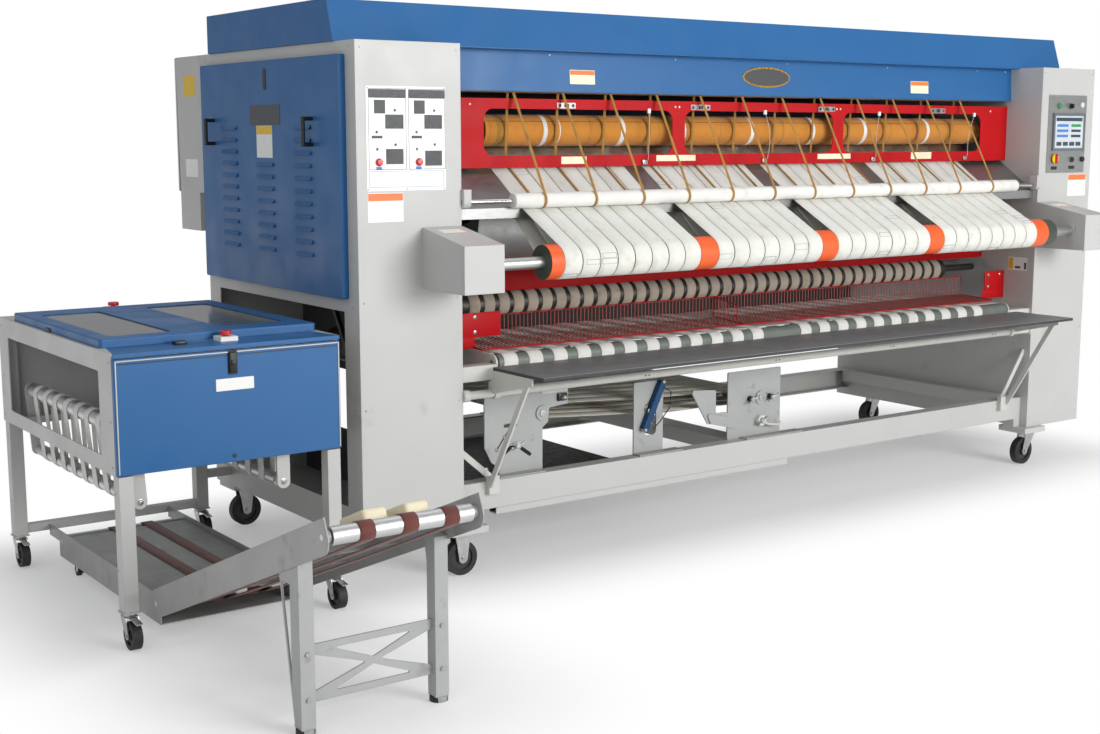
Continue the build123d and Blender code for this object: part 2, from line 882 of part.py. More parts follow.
canopy_front = front + canopy_setback
canopy_top = housing_top - sheet
with BuildPart() as front_canopy:
    canopy_side = [
        (canopy_front, canopy_bottom),
        (canopy_front + canopy_lip, canopy_bottom),
        (canopy_front + canopy_lip, canopy_bottom + sheet),
        (canopy_front + sheet, canopy_bottom + sheet),
        (canopy_front + sheet + canopy_lean, canopy_top),
        (canopy_front + sheet + canopy_lean, housing_top),
        (hood_front, housing_top),
        (hood_front, canopy_top),
        (canopy_front + canopy_lean, canopy_top),
    ]
    plate(across_x(left_inner), canopy_side, inner_width)
    tape_bar_axis = axis_x(front + tape_bar_setback, tape_bar_height)
    disc(tape_bar_axis, left_inner, right_inner, tape_bar_radius)

finish(front_canopy, "front_canopy")

with BuildPart() as rear_cover:
    cover_side = [
        (hood_back - sheet, rear_cover_bottom),
        (hood_back - sheet, housing_top),
        (hood_back, housing_top),
        (hood_back, rear_cover_bottom),
        (hood_back + cover_lip, rear_cover_bottom),
        (hood_back + cover_lip, rear_cover_bottom - sheet),
        (hood_back - sheet, rear_cover_bottom - sheet),
    ]
    plate(across_x(left_inner), cover_side, inner_width)

finish(rear_cover, "rear_cover")

# ------------------------------------------------------------------ roll guard
guard_y = front + guard_setback
with BuildPart() as roll_guard:
    guard_side = [
        (guard_y, guard_bottom),
        (guard_y + guard_sheet, guard_bottom),
        (guard_y + guard_sheet, guard_top - guard_sheet),
        (guard_y + guard_flange, guard_top - guard_sheet),
        (guard_y + guard_flange, guard_top),
        (guard_y, guard_top),
    ]
    plate(across_x(left_inner), guard_side, inner_width)
    for window_start, window_length in zip(window_starts, window_lengths):
        low = (left_inner + window_start, window_bottom)
        high = (left_inner + window_start + window_length, window_top)
        window = rectangle(low, high)
        window_plane = across_y(guard_y + guard_sheet)
        plate(window_plane, window, guard_sheet, corner=window_radius, mode=Mode.SUBTRACT)
    nip_bar_axis = axis_x(front + nip_bar_setback, nip_bar_height)
    disc(nip_bar_axis, left_inner, right_inner, nip_bar_radius)

finish(roll_guard, "roll_guard")

# ------------------------------------------------------------------ heated cylinder and its drive
cylinder_start = left_inner + cylinder_left_inset
cylinder_end = right_inner - cylinder_right_inset
sprocket_x = left_inner - sprocket_inset

with BuildPart() as heated_cylinder:
    disc(cylinder_axis, cylinder_start, cylinder_end, cylinder_radius)
    cylinder_bore = cylinder_radius - cylinder_wall
    disc(cylinder_axis, cylinder_start, cylinder_end, cylinder_bore, mode=Mode.SUBTRACT)
    head_starts = (cylinder_start + cylinder_head_inset, cylinder_end - cylinder_head_inset - cylinder_wall)
    for head_start in head_starts:
        disc(cylinder_axis, head_start, head_start + cylinder_wall, cylinder_bore)
        with BuildSketch(cylinder_axis.offset(head_start)) as head_holes:
            with PolarLocations((cylinder_bore + cylinder_journal) / 2, head_hole_count):
                Circle(head_hole_radius)
        extrude(head_holes.sketch, amount=cylinder_wall, mode=Mode.SUBTRACT)
    shaft_start = sprocket_x - sprocket_width
    disc(cylinder_axis, shaft_start, head_starts[0], cylinder_journal)
    shaft_end = right_inner + sheet + bearing_length - journal_end_gap
    disc(cylinder_axis, head_starts[1] + cylinder_wall, shaft_end, cylinder_journal)
    disc(cylinder_axis, sprocket_x, sprocket_x + sprocket_width, sprocket_radius)

finish(heated_cylinder, "heated_cylinder")

drive_y = front + drive_setback
drive_axis = axis_x(drive_y, drive_height)
with BuildPart() as roll_drive:
    chain_start = sprocket_x - (chain_width - sprocket_width) / 2
    cylinder_wheel = (cylinder_y, cylinder_height, sprocket_radius + belt_gap)
    drive_wheel = (drive_y, drive_height, drive_sprocket_radius + belt_gap)
    chain_span = (chain_start, chain_start + chain_width)
    belts(across_x(0), [chain_span], [drive_wheel, cylinder_wheel], chain_thickness)
    gearbox_y = (drive_y - gearbox_width / 2, drive_y + gearbox_width / 2)
    gearbox_z = (drive_height - gearbox_height / 2, drive_height + gearbox_height / 2)
    gearbox_x = (sprocket_x + 2 * chain_width, left_inner - sheet)
    block(gearbox_x, gearbox_y, gearbox_z)
    disc(drive_axis, sprocket_x - sprocket_width, gearbox_x[0], drive_sprocket_radius / 2)
    disc(drive_axis, sprocket_x, sprocket_x + sprocket_width, drive_sprocket_radius)
    motor_axis = axis_y((gearbox_x[0] + gearbox_x[1]) / 2, drive_height)
    disc(motor_axis, gearbox_y[1], gearbox_y[1] + motor_length, motor_radius)

finish(roll_drive, "roll_drive")

# ------------------------------------------------------------------ pressure and guide rollers
wall_journal_start = left_inner - sheet - bearing_length + journal_end_gap
wall_journal_end = right_inner + sheet + bearing_length - journal_end_gap

with BuildPart() as pressure_roller:
    pressure_start = left_inner + pressure_left_inset
    pressure_end = right_inner - pressure_right_inset
    roller(
        pressure_axis,
        pressure_start,
        pressure_end,
        pressure_radius,
        roller_wall,
        pressure_journal,
        wall_journal_start,
        wall_journal_end,
    )

finish(pressure_roller, "pressure_roller")

with BuildPart() as guide_roller:
    guide_start = left_inner + guide_left_inset
    guide_end = right_inner - guide_right_inset
    roller(
        guide_axis,
        guide_start,
        guide_end,
        guide_radius,
        roller_wall,
        guide_journal,
        left_inner + journal_end_gap,
        right_inner - journal_end_gap,
    )
    end_edges = guide_roller.edges().filter_by(GeomType.CIRCLE).group_by(SortBy.RADIUS)[-1]
    fillet(end_edges, radius=guide_end_round)

finish(guide_roller, "guide_roller")

# ------------------------------------------------------------------ feed roller and its aprons
apron_spans = []
band_spans = []
apron_x = left_inner + apron_start
for group, belt_count in enumerate(apron_groups):
    for belt in range(belt_count):
        apron_spans.append((apron_x + apron_seam / 2, apron_x + apron_pitch - apron_seam / 2))
        apron_x += apron_pitch
    if group < len(apron_groups) - 1:
        band_spans.append((apron_x, apron_x + band_width))
        apron_x += band_width
feed_start = left_inner + feed_left_inset
feed_end = right_inner - feed_right_inset
band_spans.insert(0, (feed_start, left_inner + apron_start))
band_spans.append((apron_x, apron_x + end_band_width))

with BuildPart() as feed_roller:
    roller(
        feed_axis,
        feed_start,
        feed_end,
        feed_radius,
        roller_wall,
        feed_journal,
        wall_journal_start,
        wall_journal_end,
    )
    for band_start, band_end in band_spans:
        disc(feed_axis, band_start, band_end, feed_radius + band_rise)
    feed_bore = feed_radius - roller_wall
    disc(feed_axis, feed_start + roller_wall, feed_end - roller_wall, feed_bore, mode=Mode.SUBTRACT)

finish(feed_roller, "feed_roller")

nose_y = front + nose_setback
guide_clearance = guide_radius + 2 * tape_gap + tape_thickness
apron_wheels = [
    (feed_y, feed_height, feed_radius + belt_gap),
    (nose_y, nose_height, nose_radius + belt_gap),
    (guide_y, guide_height, -guide_clearance - apron_thickness),
]
with BuildPart() as feed_aprons:
    belts(across_x(0), apron_spans, apron_wheels, apron_thickness)

finish(feed_aprons, "feed_aprons")

with BuildPart() as feed_plate:
    nose_wheel = (nose_y, nose_height, nose_radius)
    under_guide = (guide_y, guide_height, -guide_clearance - apron_thickness - belt_gap)
    top_back, toward_guide = tangent_points(nose_wheel, under_guide)
    run = math.hypot(toward_guide[0] - top_back[0], toward_guide[1] - top_back[1])
    along = ((toward_guide[0] - top_back[0]) / run, (toward_guide[1] - top_back[1]) / run)
    under = (-along[1] * feed_plate_sheet, along[0] * feed_plate_sheet)
    top_front = (top_back[0] + along[0] * feed_plate_length, top_back[1] + along[1] * feed_plate_length)
    feed_plate_side = [
        top_back,
        top_front,
        (top_front[0], top_front[1] - feed_plate_lip),
        (top_front[0] + feed_plate_sheet, top_front[1] - feed_plate_lip),
        (top_front[0] + feed_plate_sheet, top_front[1] + under[1]),
        (top_back[0] + under[0], top_back[1] + under[1]),
    ]
    plate(across_x(left_inner), feed_plate_side, inner_width)
    disc(axis_x(nose_y, nose_height), left_inner, right_inner, nose_radius)

finish(feed_plate, "feed_plate")

# ------------------------------------------------------------------ guide tapes and exit ribbons
exit_start = left_inner + exit_left_inset
exit_end = right_inner - exit_right_inset
tape_wheels = [
    (guide_y, guide_height, guide_radius + tape_gap),
    (front + nip_bar_setback, nip_bar_height, nip_bar_radius + tape_gap),
    (front + tape_bar_setback, tape_bar_height, tape_bar_radius + tape_gap),
]
tape_spans = []
for tape in range(tape_count):
    tape_x = left_inner + tape_start + tape * tape_pitch
    tape_spans.append((tape_x - tape_width / 2, tape_x + tape_width / 2))
exit_wheels = [
    (exit_y, exit_height, exit_radius + tape_gap),
    (front + stripper_setback, stripper_height, stripper_radius + tape_gap),
]
exit_spans = []
exit_margin = (exit_end - exit_start - (exit_ribbon_count - 1) * exit_ribbon_pitch) / 2
for ribbon in range(exit_ribbon_count):
    ribbon_x = exit_start + exit_margin + ribbon * exit_ribbon_pitch
    exit_spans.append((ribbon_x - exit_ribbon_width / 2, ribbon_x + exit_ribbon_width / 2))

with BuildPart() as guide_tapes:
    belts(across_x(0), tape_spans, tape_wheels, tape_thickness)
    belts(across_x(0), exit_spans, exit_wheels, tape_thickness)
    stripper_axis = axis_x(front + stripper_setback, stripper_height)
    disc(stripper_axis, left_inner, right_inner, stripper_radius)

finish(guide_tapes, "guide_tapes_and_exit_ribbons")

with BuildPart() as exit_roller:
    roller(
        exit_axis,
        exit_start,
        exit_end,
        exit_radius,
        roller_wall,
        exit_journal,
        wall_journal_start,
        wall_journal_end,
    )

finish(exit_roller, "exit_roller")

# ------------------------------------------------------------------ finger guard
net_front = front + net_front_setback
net_back = front + net_back_setback
net_x = (left_inner + net_left_inset, right_inner - net_right_inset)
with BuildPart() as finger_guard:
    net_side = [
        (net_front, net_height),
        (net_back, net_height),
        (net_back, net_top),
        (net_back - net_thickness, net_top),
        (net_back - net_thickness, net_height + net_thickness),
        (net_front, net_height + net_thickness),
    ]
    plate(across_x(net_x[0]), net_side, net_x[1] - net_x[0])
    gap_count = int((net_x[1] - net_x[0]) / net_pitch) - 1
    gap_middle = (net_x[0] + net_x[1]) / 2
    gap_width = net_pitch - net_wire
    upright_middle = (net_height + net_thickness + net_top) / 2
    upright_length = net_top - net_height - net_thickness - 2 * net_border
    with BuildSketch(across_y(net_back)) as upright_gaps:
        with Locations((gap_middle, upright_middle)):
            with GridLocations(net_pitch, upright_length, gap_count, 1):
                Rectangle(gap_width, upright_length)
    extrude(upright_gaps.sketch, amount=net_thickness, mode=Mode.SUBTRACT)
    flat_middle = (net_front + net_back - net_thickness) / 2
    flat_length = net_back - net_front - net_thickness - 2 * net_border
    with BuildSketch(Plane.XY.offset(net_height)) as flat_gaps:
        with Locations((gap_middle, flat_middle)):
            with GridLocations(net_pitch, flat_length, gap_count, 1):
                Rectangle(gap_width, flat_length)
    extrude(flat_gaps.sketch, amount=net_thickness, mode=Mode.SUBTRACT)
    plate_y = (net_front - sheet, net_front)
    plate_z = (guard_plate_bottom, guard_plate_top)
    end_z = (net_height, guard_plate_top)
    for wall_x, inward, reach in ((left_inner, 1, guard_plate_left), (right_inner, -1, guard_plate_right)):
        face_x = sorted((wall_x, wall_x + inward * reach))
        block(face_x, plate_y, plate_z)
        tab_x = sorted((wall_x, wall_x + inward * (net_left_inset + net_border)))
        block(tab_x, plate_y, (net_height, guard_plate_bottom))
    bar_y = (front + red_bar_setback, front + red_bar_setback + sheet)
    block((left_inner, right_inner), bar_y, (red_bar_bottom, red_bar_top))

finish(finger_guard, "finger_guard")

# ------------------------------------------------------------------ delivery bed, roller and belts
delivery_y = front + delivery_setback
delivery_back = front + delivery_back_setback
delivery_axis = axis_x(delivery_y, delivery_height)
delivery_start = left_inner + delivery_left_inset
delivery_end = right_inner - delivery_right_inset
left_cheek = (delivery_start - cheek_gap - cheek_thickness, delivery_start - cheek_gap)
right_cheek = (delivery_end + cheek_gap, delivery_end + cheek_gap + cheek_thickness)

with BuildPart() as delivery_roller:
    roller(
        delivery_axis,
        delivery_start,
        delivery_end,
        delivery_radius,
        roller_wall,
        delivery_journal,
        left_cheek[0] + journal_end_gap,
        right_cheek[1] - journal_end_gap,
    )

finish(delivery_roller, "delivery_roller")

with BuildPart() as delivery_bed:
    bed_z = delivery_height + delivery_radius - bed_sheet
    cheek_z = (delivery_height - cheek_height / 2, delivery_height + cheek_height / 2)
    for cheek in (left_cheek, right_cheek):
        block(cheek, (delivery_y, delivery_back), cheek_z)
        disc(delivery_axis, cheek[0], cheek[1], cheek_height / 2)
        disc(axis_x(delivery_back, delivery_height), cheek[0], cheek[1], cheek_height / 2)
        journal_hole = delivery_journal + running_gap
        disc(delivery_axis, cheek[0], cheek[1], journal_hole, mode=Mode.SUBTRACT)
    bed_y = (delivery_y + delivery_radius + bed_sheet, delivery_back)
    block((left_cheek[1], right_cheek[0]), bed_y, (bed_z, bed_z + bed_sheet))
    back_axis = axis_x(delivery_back, delivery_height)
    disc(back_axis, left_cheek[1], right_cheek[0], delivery_radius)
    back_bore = delivery_radius - bed_sheet
    disc(back_axis, left_cheek[1], right_cheek[0], back_bore, mode=Mode.SUBTRACT)
    beam_z = (delivery_height - bed_beam_height, delivery_height)
    for beam_y in (delivery_y - delivery_radius, delivery_back - bed_beam_width):
        block((left_inner, left_cheek[0]), (beam_y, beam_y + bed_beam_width), beam_z)
        block((right_cheek[1], right_inner), (beam_y, beam_y + bed_beam_width), beam_z)

finish(delivery_bed, "delivery_bed")

ribbon_spans = []
for ribbon_start, ribbon_count in zip(ribbon_starts, ribbon_counts):
    for ribbon in range(ribbon_count):
        ribbon_x = left_inner + ribbon_start + ribbon * ribbon_pitch
        ribbon_spans.append((ribbon_x - ribbon_width / 2, ribbon_x + ribbon_width / 2))
ribbon_wheels = [
    (delivery_y, delivery_height, delivery_radius + belt_gap),
    (delivery_back, delivery_height, delivery_radius + belt_gap),
]

# ------------------------------------------------------------------ catch shelf and its supports
shelf_left = left_inner + shelf_left_inset
shelf_right = right_inner - shelf_right_inset
shelf_front = front - shelf_front_reach
shelf_back = front - shelf_back_reach
shelf_under = shelf_top - shelf_thickness

with BuildPart() as catch_shelf:
    block((shelf_left, shelf_right), (shelf_front, shelf_back), (shelf_under, shelf_top))
    chamfer(catch_shelf.faces().sort_by(Axis.Z)[-1].edges(), length=shelf_edge)

finish(catch_shelf, "catch_shelf")

tube_y = front + support_tube_setback
support_axis = axis_x(tube_y, support_tube_height)
with BuildPart() as shelf_supports:
    disc(support_axis, left_inner, right_inner, support_tube_radius)
    gusset_side = [
        (shelf_front + strut_setback, shelf_under),
        (shelf_front + strut_setback, shelf_under - gusset_front_drop),
        (tube_y - support_tube_radius, support_tube_height),
        (tube_y + support_tube_radius, support_tube_height),
        (tube_y + support_tube_radius, delivery_height - bed_beam_height - strut_thickness),
        (shelf_back, delivery_height - bed_beam_height + strut_thickness),
        (shelf_back, shelf_under),
    ]
    strut_top = (shelf_front + strut_setback + strut_width, shelf_under - gusset_front_drop / 2)
    strut_foot = (rail_front - strut_width, rail_top - strut_width / 2)
    tab_z = (rail_top - 2 * strut_width, rail_top + strut_width)
    ends = (
        (shelf_left, 1, left_inner, wall_brace_rises[0]),
        (shelf_right, -1, right_inner, wall_brace_rises[1]),
    )
    for side_x, inward, wall_x, brace_rise in ends:
        side_plane = across_x(min(side_x, side_x + inward * strut_thickness))
        plate(side_plane, gusset_side, strut_thickness)
        plate(side_plane, strip(strut_top, strut_foot, strut_width), strut_thickness)
        tab_x = sorted((side_x, side_x + inward * 2 * strut_width))
        block(tab_x, (rail_front - strut_width, rail_front), tab_z)
        for collar_x in (wall_x, side_x + inward * strut_thickness):
            collar_end = collar_x + inward * collar_length
            disc(support_axis, min(collar_x, collar_end), max(collar_x, collar_end), collar_radius)
        brace_low = (side_x + inward * strut_width, rail_top + strut_width / 2)
        brace_top = (wall_x, rail_top + brace_rise)
        plate(across_y(rail_front), strip(brace_low, brace_top, strut_width), strut_thickness)
        beyond = sorted((wall_x, wall_x - inward * 2 * strut_width))
        beyond_z = (rail_top, shelf_under)
        block(beyond, (rail_front - strut_width, rail_front), beyond_z, mode=Mode.SUBTRACT)

finish(shelf_supports, "shelf_supports")

# ------------------------------------------------------------------ primary folder
folder_front = rail_back - folder_plate
folder_back = rear_rail_front
fold_left_x = left_inner + fold_left_reach
fold_right_x = left_inner + fold_right_reach
fold_left_axis = axis_y(fold_left_x, fold_left_height)
fold_right_axis = axis_y(fold_right_x, fold_right_height)


def folder_points(places):
    """Points on the folder's plates, from their (inset from the left inner wall, height)."""
    return [(left_inner + inset, height) for inset, height in places]


with BuildPart() as folder_brackets:
    plate_outlines = (
        folder_points(left_plate_corners),
        rectangle(*folder_points(centre_plate_span)),
        rectangle(*folder_points(right_plate_span)),
    )
    front_plane = across_y(folder_front)
    plate_plane = across_y(folder_front + folder_plate)
    for outline, foot in zip(plate_outlines, folder_feet):
        plate(plate_plane, outline, folder_plate, corner=folder_corner)
        plate(across_y(folder_back + folder_plate), outline, folder_plate, corner=folder_corner)
        foot_x = (left_inner + foot[0], left_inner + foot[1])
        foot_z = (rail_top, rail_top + folder_foot_thickness)
        block(foot_x, (folder_front - folder_foot_width, folder_front), foot_z)
        block(foot_x, (folder_back + folder_plate, folder_back + folder_foot_width), foot_z)
    window = rectangle(*folder_points(centre_window_span))
    plate(plate_plane, window, folder_plate, corner=centre_window_corner, mode=Mode.SUBTRACT)
    for fold_axis in (fold_left_axis, fold_right_axis):
        disc(fold_axis, folder_front - folder_plate, folder_front, fold_journal + bearing_wall)
        back_face = folder_back + folder_plate
        disc(fold_axis, back_face, back_face + folder_plate, fold_journal + bearing_wall)
        for hole_start in (folder_front - folder_plate, folder_back):
            hole = fold_journal + running_gap
            disc(fold_axis, hole_start, hole_start + 2 * folder_plate, hole, mode=Mode.SUBTRACT)
    air_cylinder = strip(*folder_points(air_cylinder_ends), air_cylinder_size)
    plate(front_plane, air_cylinder, air_cylinder_size)
    for slot_inset, slot_height, slot_slope in bolt_slots:
        with BuildSketch(plate_plane) as bolt_slot:
            with Locations((left_inner + slot_inset, slot_height)):
                SlotOverall(*bolt_slot_size, rotation=slot_slope)
        extrude(bolt_slot.sketch, amount=folder_plate, mode=Mode.SUBTRACT)
    plate(plate_plane, folder_points(lever_corners), folder_plate, corner=lever_corner)
    plate(front_plane, folder_points(cam_corners), folder_plate, corner=cam_corner)
    for knob_inset, knob_height, knob_radius in knob_places:
        knob_axis = axis_y(left_inner + knob_inset, knob_height)
        disc(knob_axis, folder_front - knob_depth, folder_front, knob_radius)

finish(folder_brackets, "folder_brackets")

for side_name, fold_axis in (("left", fold_left_axis), ("right", fold_right_axis)):
    with BuildPart() as fold_roller:
        roller(
            fold_axis,
            rail_back + fold_end_gap,
            folder_back - fold_end_gap,
            fold_radius,
            roller_wall,
            fold_journal,
            folder_front - folder_plate + journal_end_gap,
            folder_back + 2 * folder_plate - journal_end_gap,
        )
    finish(fold_roller, f"fold_roller_{side_name}")

fold_belt_margin = fold_end_gap + fold_belt_inset
fold_belt_y = (rail_back + fold_belt_margin, folder_back - fold_belt_margin)
fold_wheels = [
    (-fold_right_x, fold_right_height, fold_radius + belt_gap),
    (-fold_left_x, fold_left_height, fold_radius + belt_gap),
]
with BuildPart() as folder_belts:
    belts(across_x(0), ribbon_spans, ribbon_wheels, ribbon_thickness)
    belts(axis_y(0, 0), [fold_belt_y], fold_wheels, ribbon_thickness)

finish(folder_belts, "delivery_and_folder_belts")

# ------------------------------------------------------------------ electric cabinet
cabinet_x = (left_outer, left_outer + cabinet_width)
cabinet_back = back + cabinet_depth
cabinet_body_back = cabinet_back - cabinet_door_thickness - gasket

with BuildPart() as electric_cabinet:
    block(cabinet_x, (back, cabinet_body_back), (cabinet_bottom, housing_top))
    inside_x = (cabinet_x[0] + sheet, cabinet_x[1] - sheet)
    inside_z = (cabinet_bottom + sheet, housing_top - sheet)
    block(inside_x, (back + sheet, cabinet_body_back), inside_z, mode=Mode.SUBTRACT)
    rim = (cabinet_body_back, cabinet_body_back + gasket)
    block(cabinet_x, rim, (cabinet_bottom, housing_top))
    block(inside_x, rim, inside_z, mode=Mode.SUBTRACT)
    lower_x = (left_outer, left_outer + lower_box_width)
    lower_y = (back + lower_box_start, back + lower_box_start + lower_box_depth)
    block(lower_x, lower_y, (cabinet_bottom - lower_box_drop, cabinet_bottom))

finish(electric_cabinet, "electric_cabinet")

with BuildPart() as cabinet_door:
    block(cabinet_x, (cabinet_back - cabinet_door_thickness, cabinet_back), (cabinet_bottom, housing_top))
    fillet(cabinet_door.edges().filter_by(Axis.Y), radius=cabinet_door_corner)
    lock_axis = axis_y(cabinet_x[0] + 2 * lock_radius, (cabinet_bottom + housing_top) / 2)
    lock_y = (cabinet_back - cabinet_door_thickness, cabinet_back)
    disc(lock_axis, *lock_y, lock_radius / 2, mode=Mode.SUBTRACT)
    disc(lock_axis, cabinet_back - cabinet_door_thickness, cabinet_back - lock_depth, lock_radius)

finish(cabinet_door, "cabinet_door")

# ------------------------------------------------------------------ control panel and its switches
panel_x = (right_inner + panel_left_inset, right_inner + panel_left_inset + panel_width)
panel_face = front - panel_thickness

with BuildPart() as control_panel:
    block(panel_x, (panel_face, front), (panel_bottom, panel_bottom + panel_height))
    fillet(control_panel.edges().filter_by(Axis.Y), radius=panel_corner)
    screen_x = (panel_x[0] + screen_left_inset, panel_x[0] + screen_left_inset + screen_width)
    screen_z = (screen_bottom, screen_bottom + screen_height)
    block(screen_x, (panel_face - screen_rise, panel_face), screen_z)
    glass_x = (screen_x[0] + screen_bezel, screen_x[1] - screen_bezel)
    glass_z = (screen_z[0] + screen_bezel, screen_z[1] - screen_bezel)
    block(glass_x, (panel_face - screen_rise, panel_face - screen_rise / 2), glass_z, mode=Mode.SUBTRACT)
    for place in switch_places:
        disc(panel_axis(place), panel_face - bezel_rise, panel_face, button_hole + bezel_wall)
        disc(panel_axis(place), panel_face - bezel_rise, front, button_hole, mode=Mode.SUBTRACT)
    for place in pilot_places:
        disc(panel_axis(place), panel_face - 2 * bezel_rise, panel_face, button_hole)

finish(control_panel, "control_panel")

button_radius = button_hole - running_gap
button_face = panel_face - bezel_rise - button_travel - seat_gap
for button_name, place in (("start_button", switch_places[0]), ("stop_reset_button", switch_places[3])):
    with BuildPart() as push_button:
        disc(panel_axis(place), button_face, front, button_radius)
        fillet(push_button.edges().sort_by(Axis.Y)[0], radius=button_edge)
    finish(push_button, button_name)

for switch_name, place, grip_length in (
    ("selector_switch", switch_places[1], selector_grip),
    ("main_switch", switch_places[2], main_grip),
):
    with BuildPart() as rotary_switch:
        disc(panel_axis(place), panel_face - bezel_rise, front, button_radius)
        knob_radius = max(button_radius, grip_length / 2)
        knob_back = panel_face - bezel_rise - seat_gap
        disc(panel_axis(place), knob_back - knob_plate, knob_back, knob_radius)
        disc(panel_axis(place), knob_back, panel_face - bezel_rise, button_radius)
        grip_x = (right_inner + place[0] - grip_width / 2, right_inner + place[0] + grip_width / 2)
        grip_z = (place[1] - grip_length / 2, place[1] + grip_length / 2)
        block(grip_x, (knob_back - knob_plate - grip_rise, knob_back - knob_plate), grip_z)
    finish(rotary_switch, switch_name)

# ------------------------------------------------------------------ left end panel
panel_outer = left_outer - end_panel_thickness
end_panel_y = (front + end_panel_front, front + end_panel_back)
with BuildPart() as left_end_panel:
    block((panel_outer, left_outer), end_panel_y, (end_panel_bottom, end_panel_top))
    fillet(left_end_panel.edges().filter_by(Axis.X), radius=end_panel_corner)
    pan_y = (end_panel_y[0] + end_panel_sheet, end_panel_y[1] - end_panel_sheet)
    pan_z = (end_panel_bottom + end_panel_sheet, end_panel_top - end_panel_sheet)
    block((panel_outer + end_panel_sheet, left_outer), pan_y, pan_z, mode=Mode.SUBTRACT)
    for column_middle, column_width, louvre_count in louvre_columns:
        louvre_back = across_y(front + column_middle + column_width / 2)
        for louvre in range(louvre_count):
            z = louvre_bottom + louvre * louvre_pitch
            hood_outline = [
                (panel_outer, z),
                (panel_outer, z + louvre_height),
                (panel_outer - louvre_rise, z),
            ]
            plate(louvre_back, hood_outline, column_width)
            throat = [
                (panel_outer + end_panel_sheet, z),
                (panel_outer + end_panel_sheet, z + louvre_height - 2 * louvre_skin),
                (panel_outer, z + louvre_height - 2 * louvre_skin),
                (panel_outer - louvre_rise + louvre_skin, z),
            ]
            inner_back = across_y(front + column_middle + column_width / 2 - louvre_skin)
            plate(inner_back, throat, column_width - 2 * louvre_skin, mode=Mode.SUBTRACT)
    grip_x = panel_outer - handle_reach + handle_radius
    handle_z = (handle_bottom, handle_bottom + handle_length)
    for handle_setback in handle_setbacks:
        handle_y = front + handle_setback
        disc(axis_z(grip_x, handle_y), *handle_z, handle_radius)
        for post_z in (handle_z[0] + handle_radius, handle_z[1] - handle_radius):
            disc(axis_x(handle_y, post_z), grip_x, panel_outer, handle_radius)
    with BuildSketch(across_x(panel_outer - latch_rise)) as latch:
        with Locations((front + latch_setback, latch_height)):
            SlotOverall(latch_length, latch_width, rotation=90)
    extrude(latch.sketch, amount=latch_rise)

finish(left_end_panel, "left_end_panel")

# ------------------------------------------------------------------ cross folder
crossfold_y = (crossfold_face, crossfold_back)
crossfold_x = (crossfold_left, crossfold_right)
panel_front = crossfold_face - front_panel_thickness
front_leg = panel_front + leg_inset
rear_leg = crossfold_back - leg_inset - leg_size
leg_x_starts = (crossfold_left + leg_inset, crossfold_right - leg_inset - leg_size)
arm_front = crossfold_face + arm_plate_setback
arm_back = crossfold_back - arm_back_margin
upper_axis = axis_y(crossfold_left + upper_roller_inset, upper_roller_height)
lower_axis = axis_y(crossfold_left + left_unit_inset, lower_roller_height)
right_bar_axis = axis_y(crossfold_left + right_unit_inset, upper_roller_height)
right_axis = axis_y(crossfold_left + right_unit_inset, lower_roller_height)
lid_x = (crossfold_left + lid_side_margin, crossfold_right - lid_side_margin)
lid_y = (crossfold_face + lid_front_margin, crossfold_back - lid_back_margin)
stop_x = crossfold_left + stop_button_inset
stop_places = [crossfold_face + setback for setback in stop_button_setbacks]


def lid_window(index, rim):
    """The X and Y spans of one of the lid's windows, wider by the rim all round."""
    window_x = [crossfold_left + place for place in lid_window_spans[index]]
    window_y = (
        crossfold_face + lid_window_margins[index][0],
        crossfold_back - lid_window_margins[index][1],
    )
    return (window_x[0] - rim, window_x[1] + rim), (window_y[0] - rim, window_y[1] + rim)


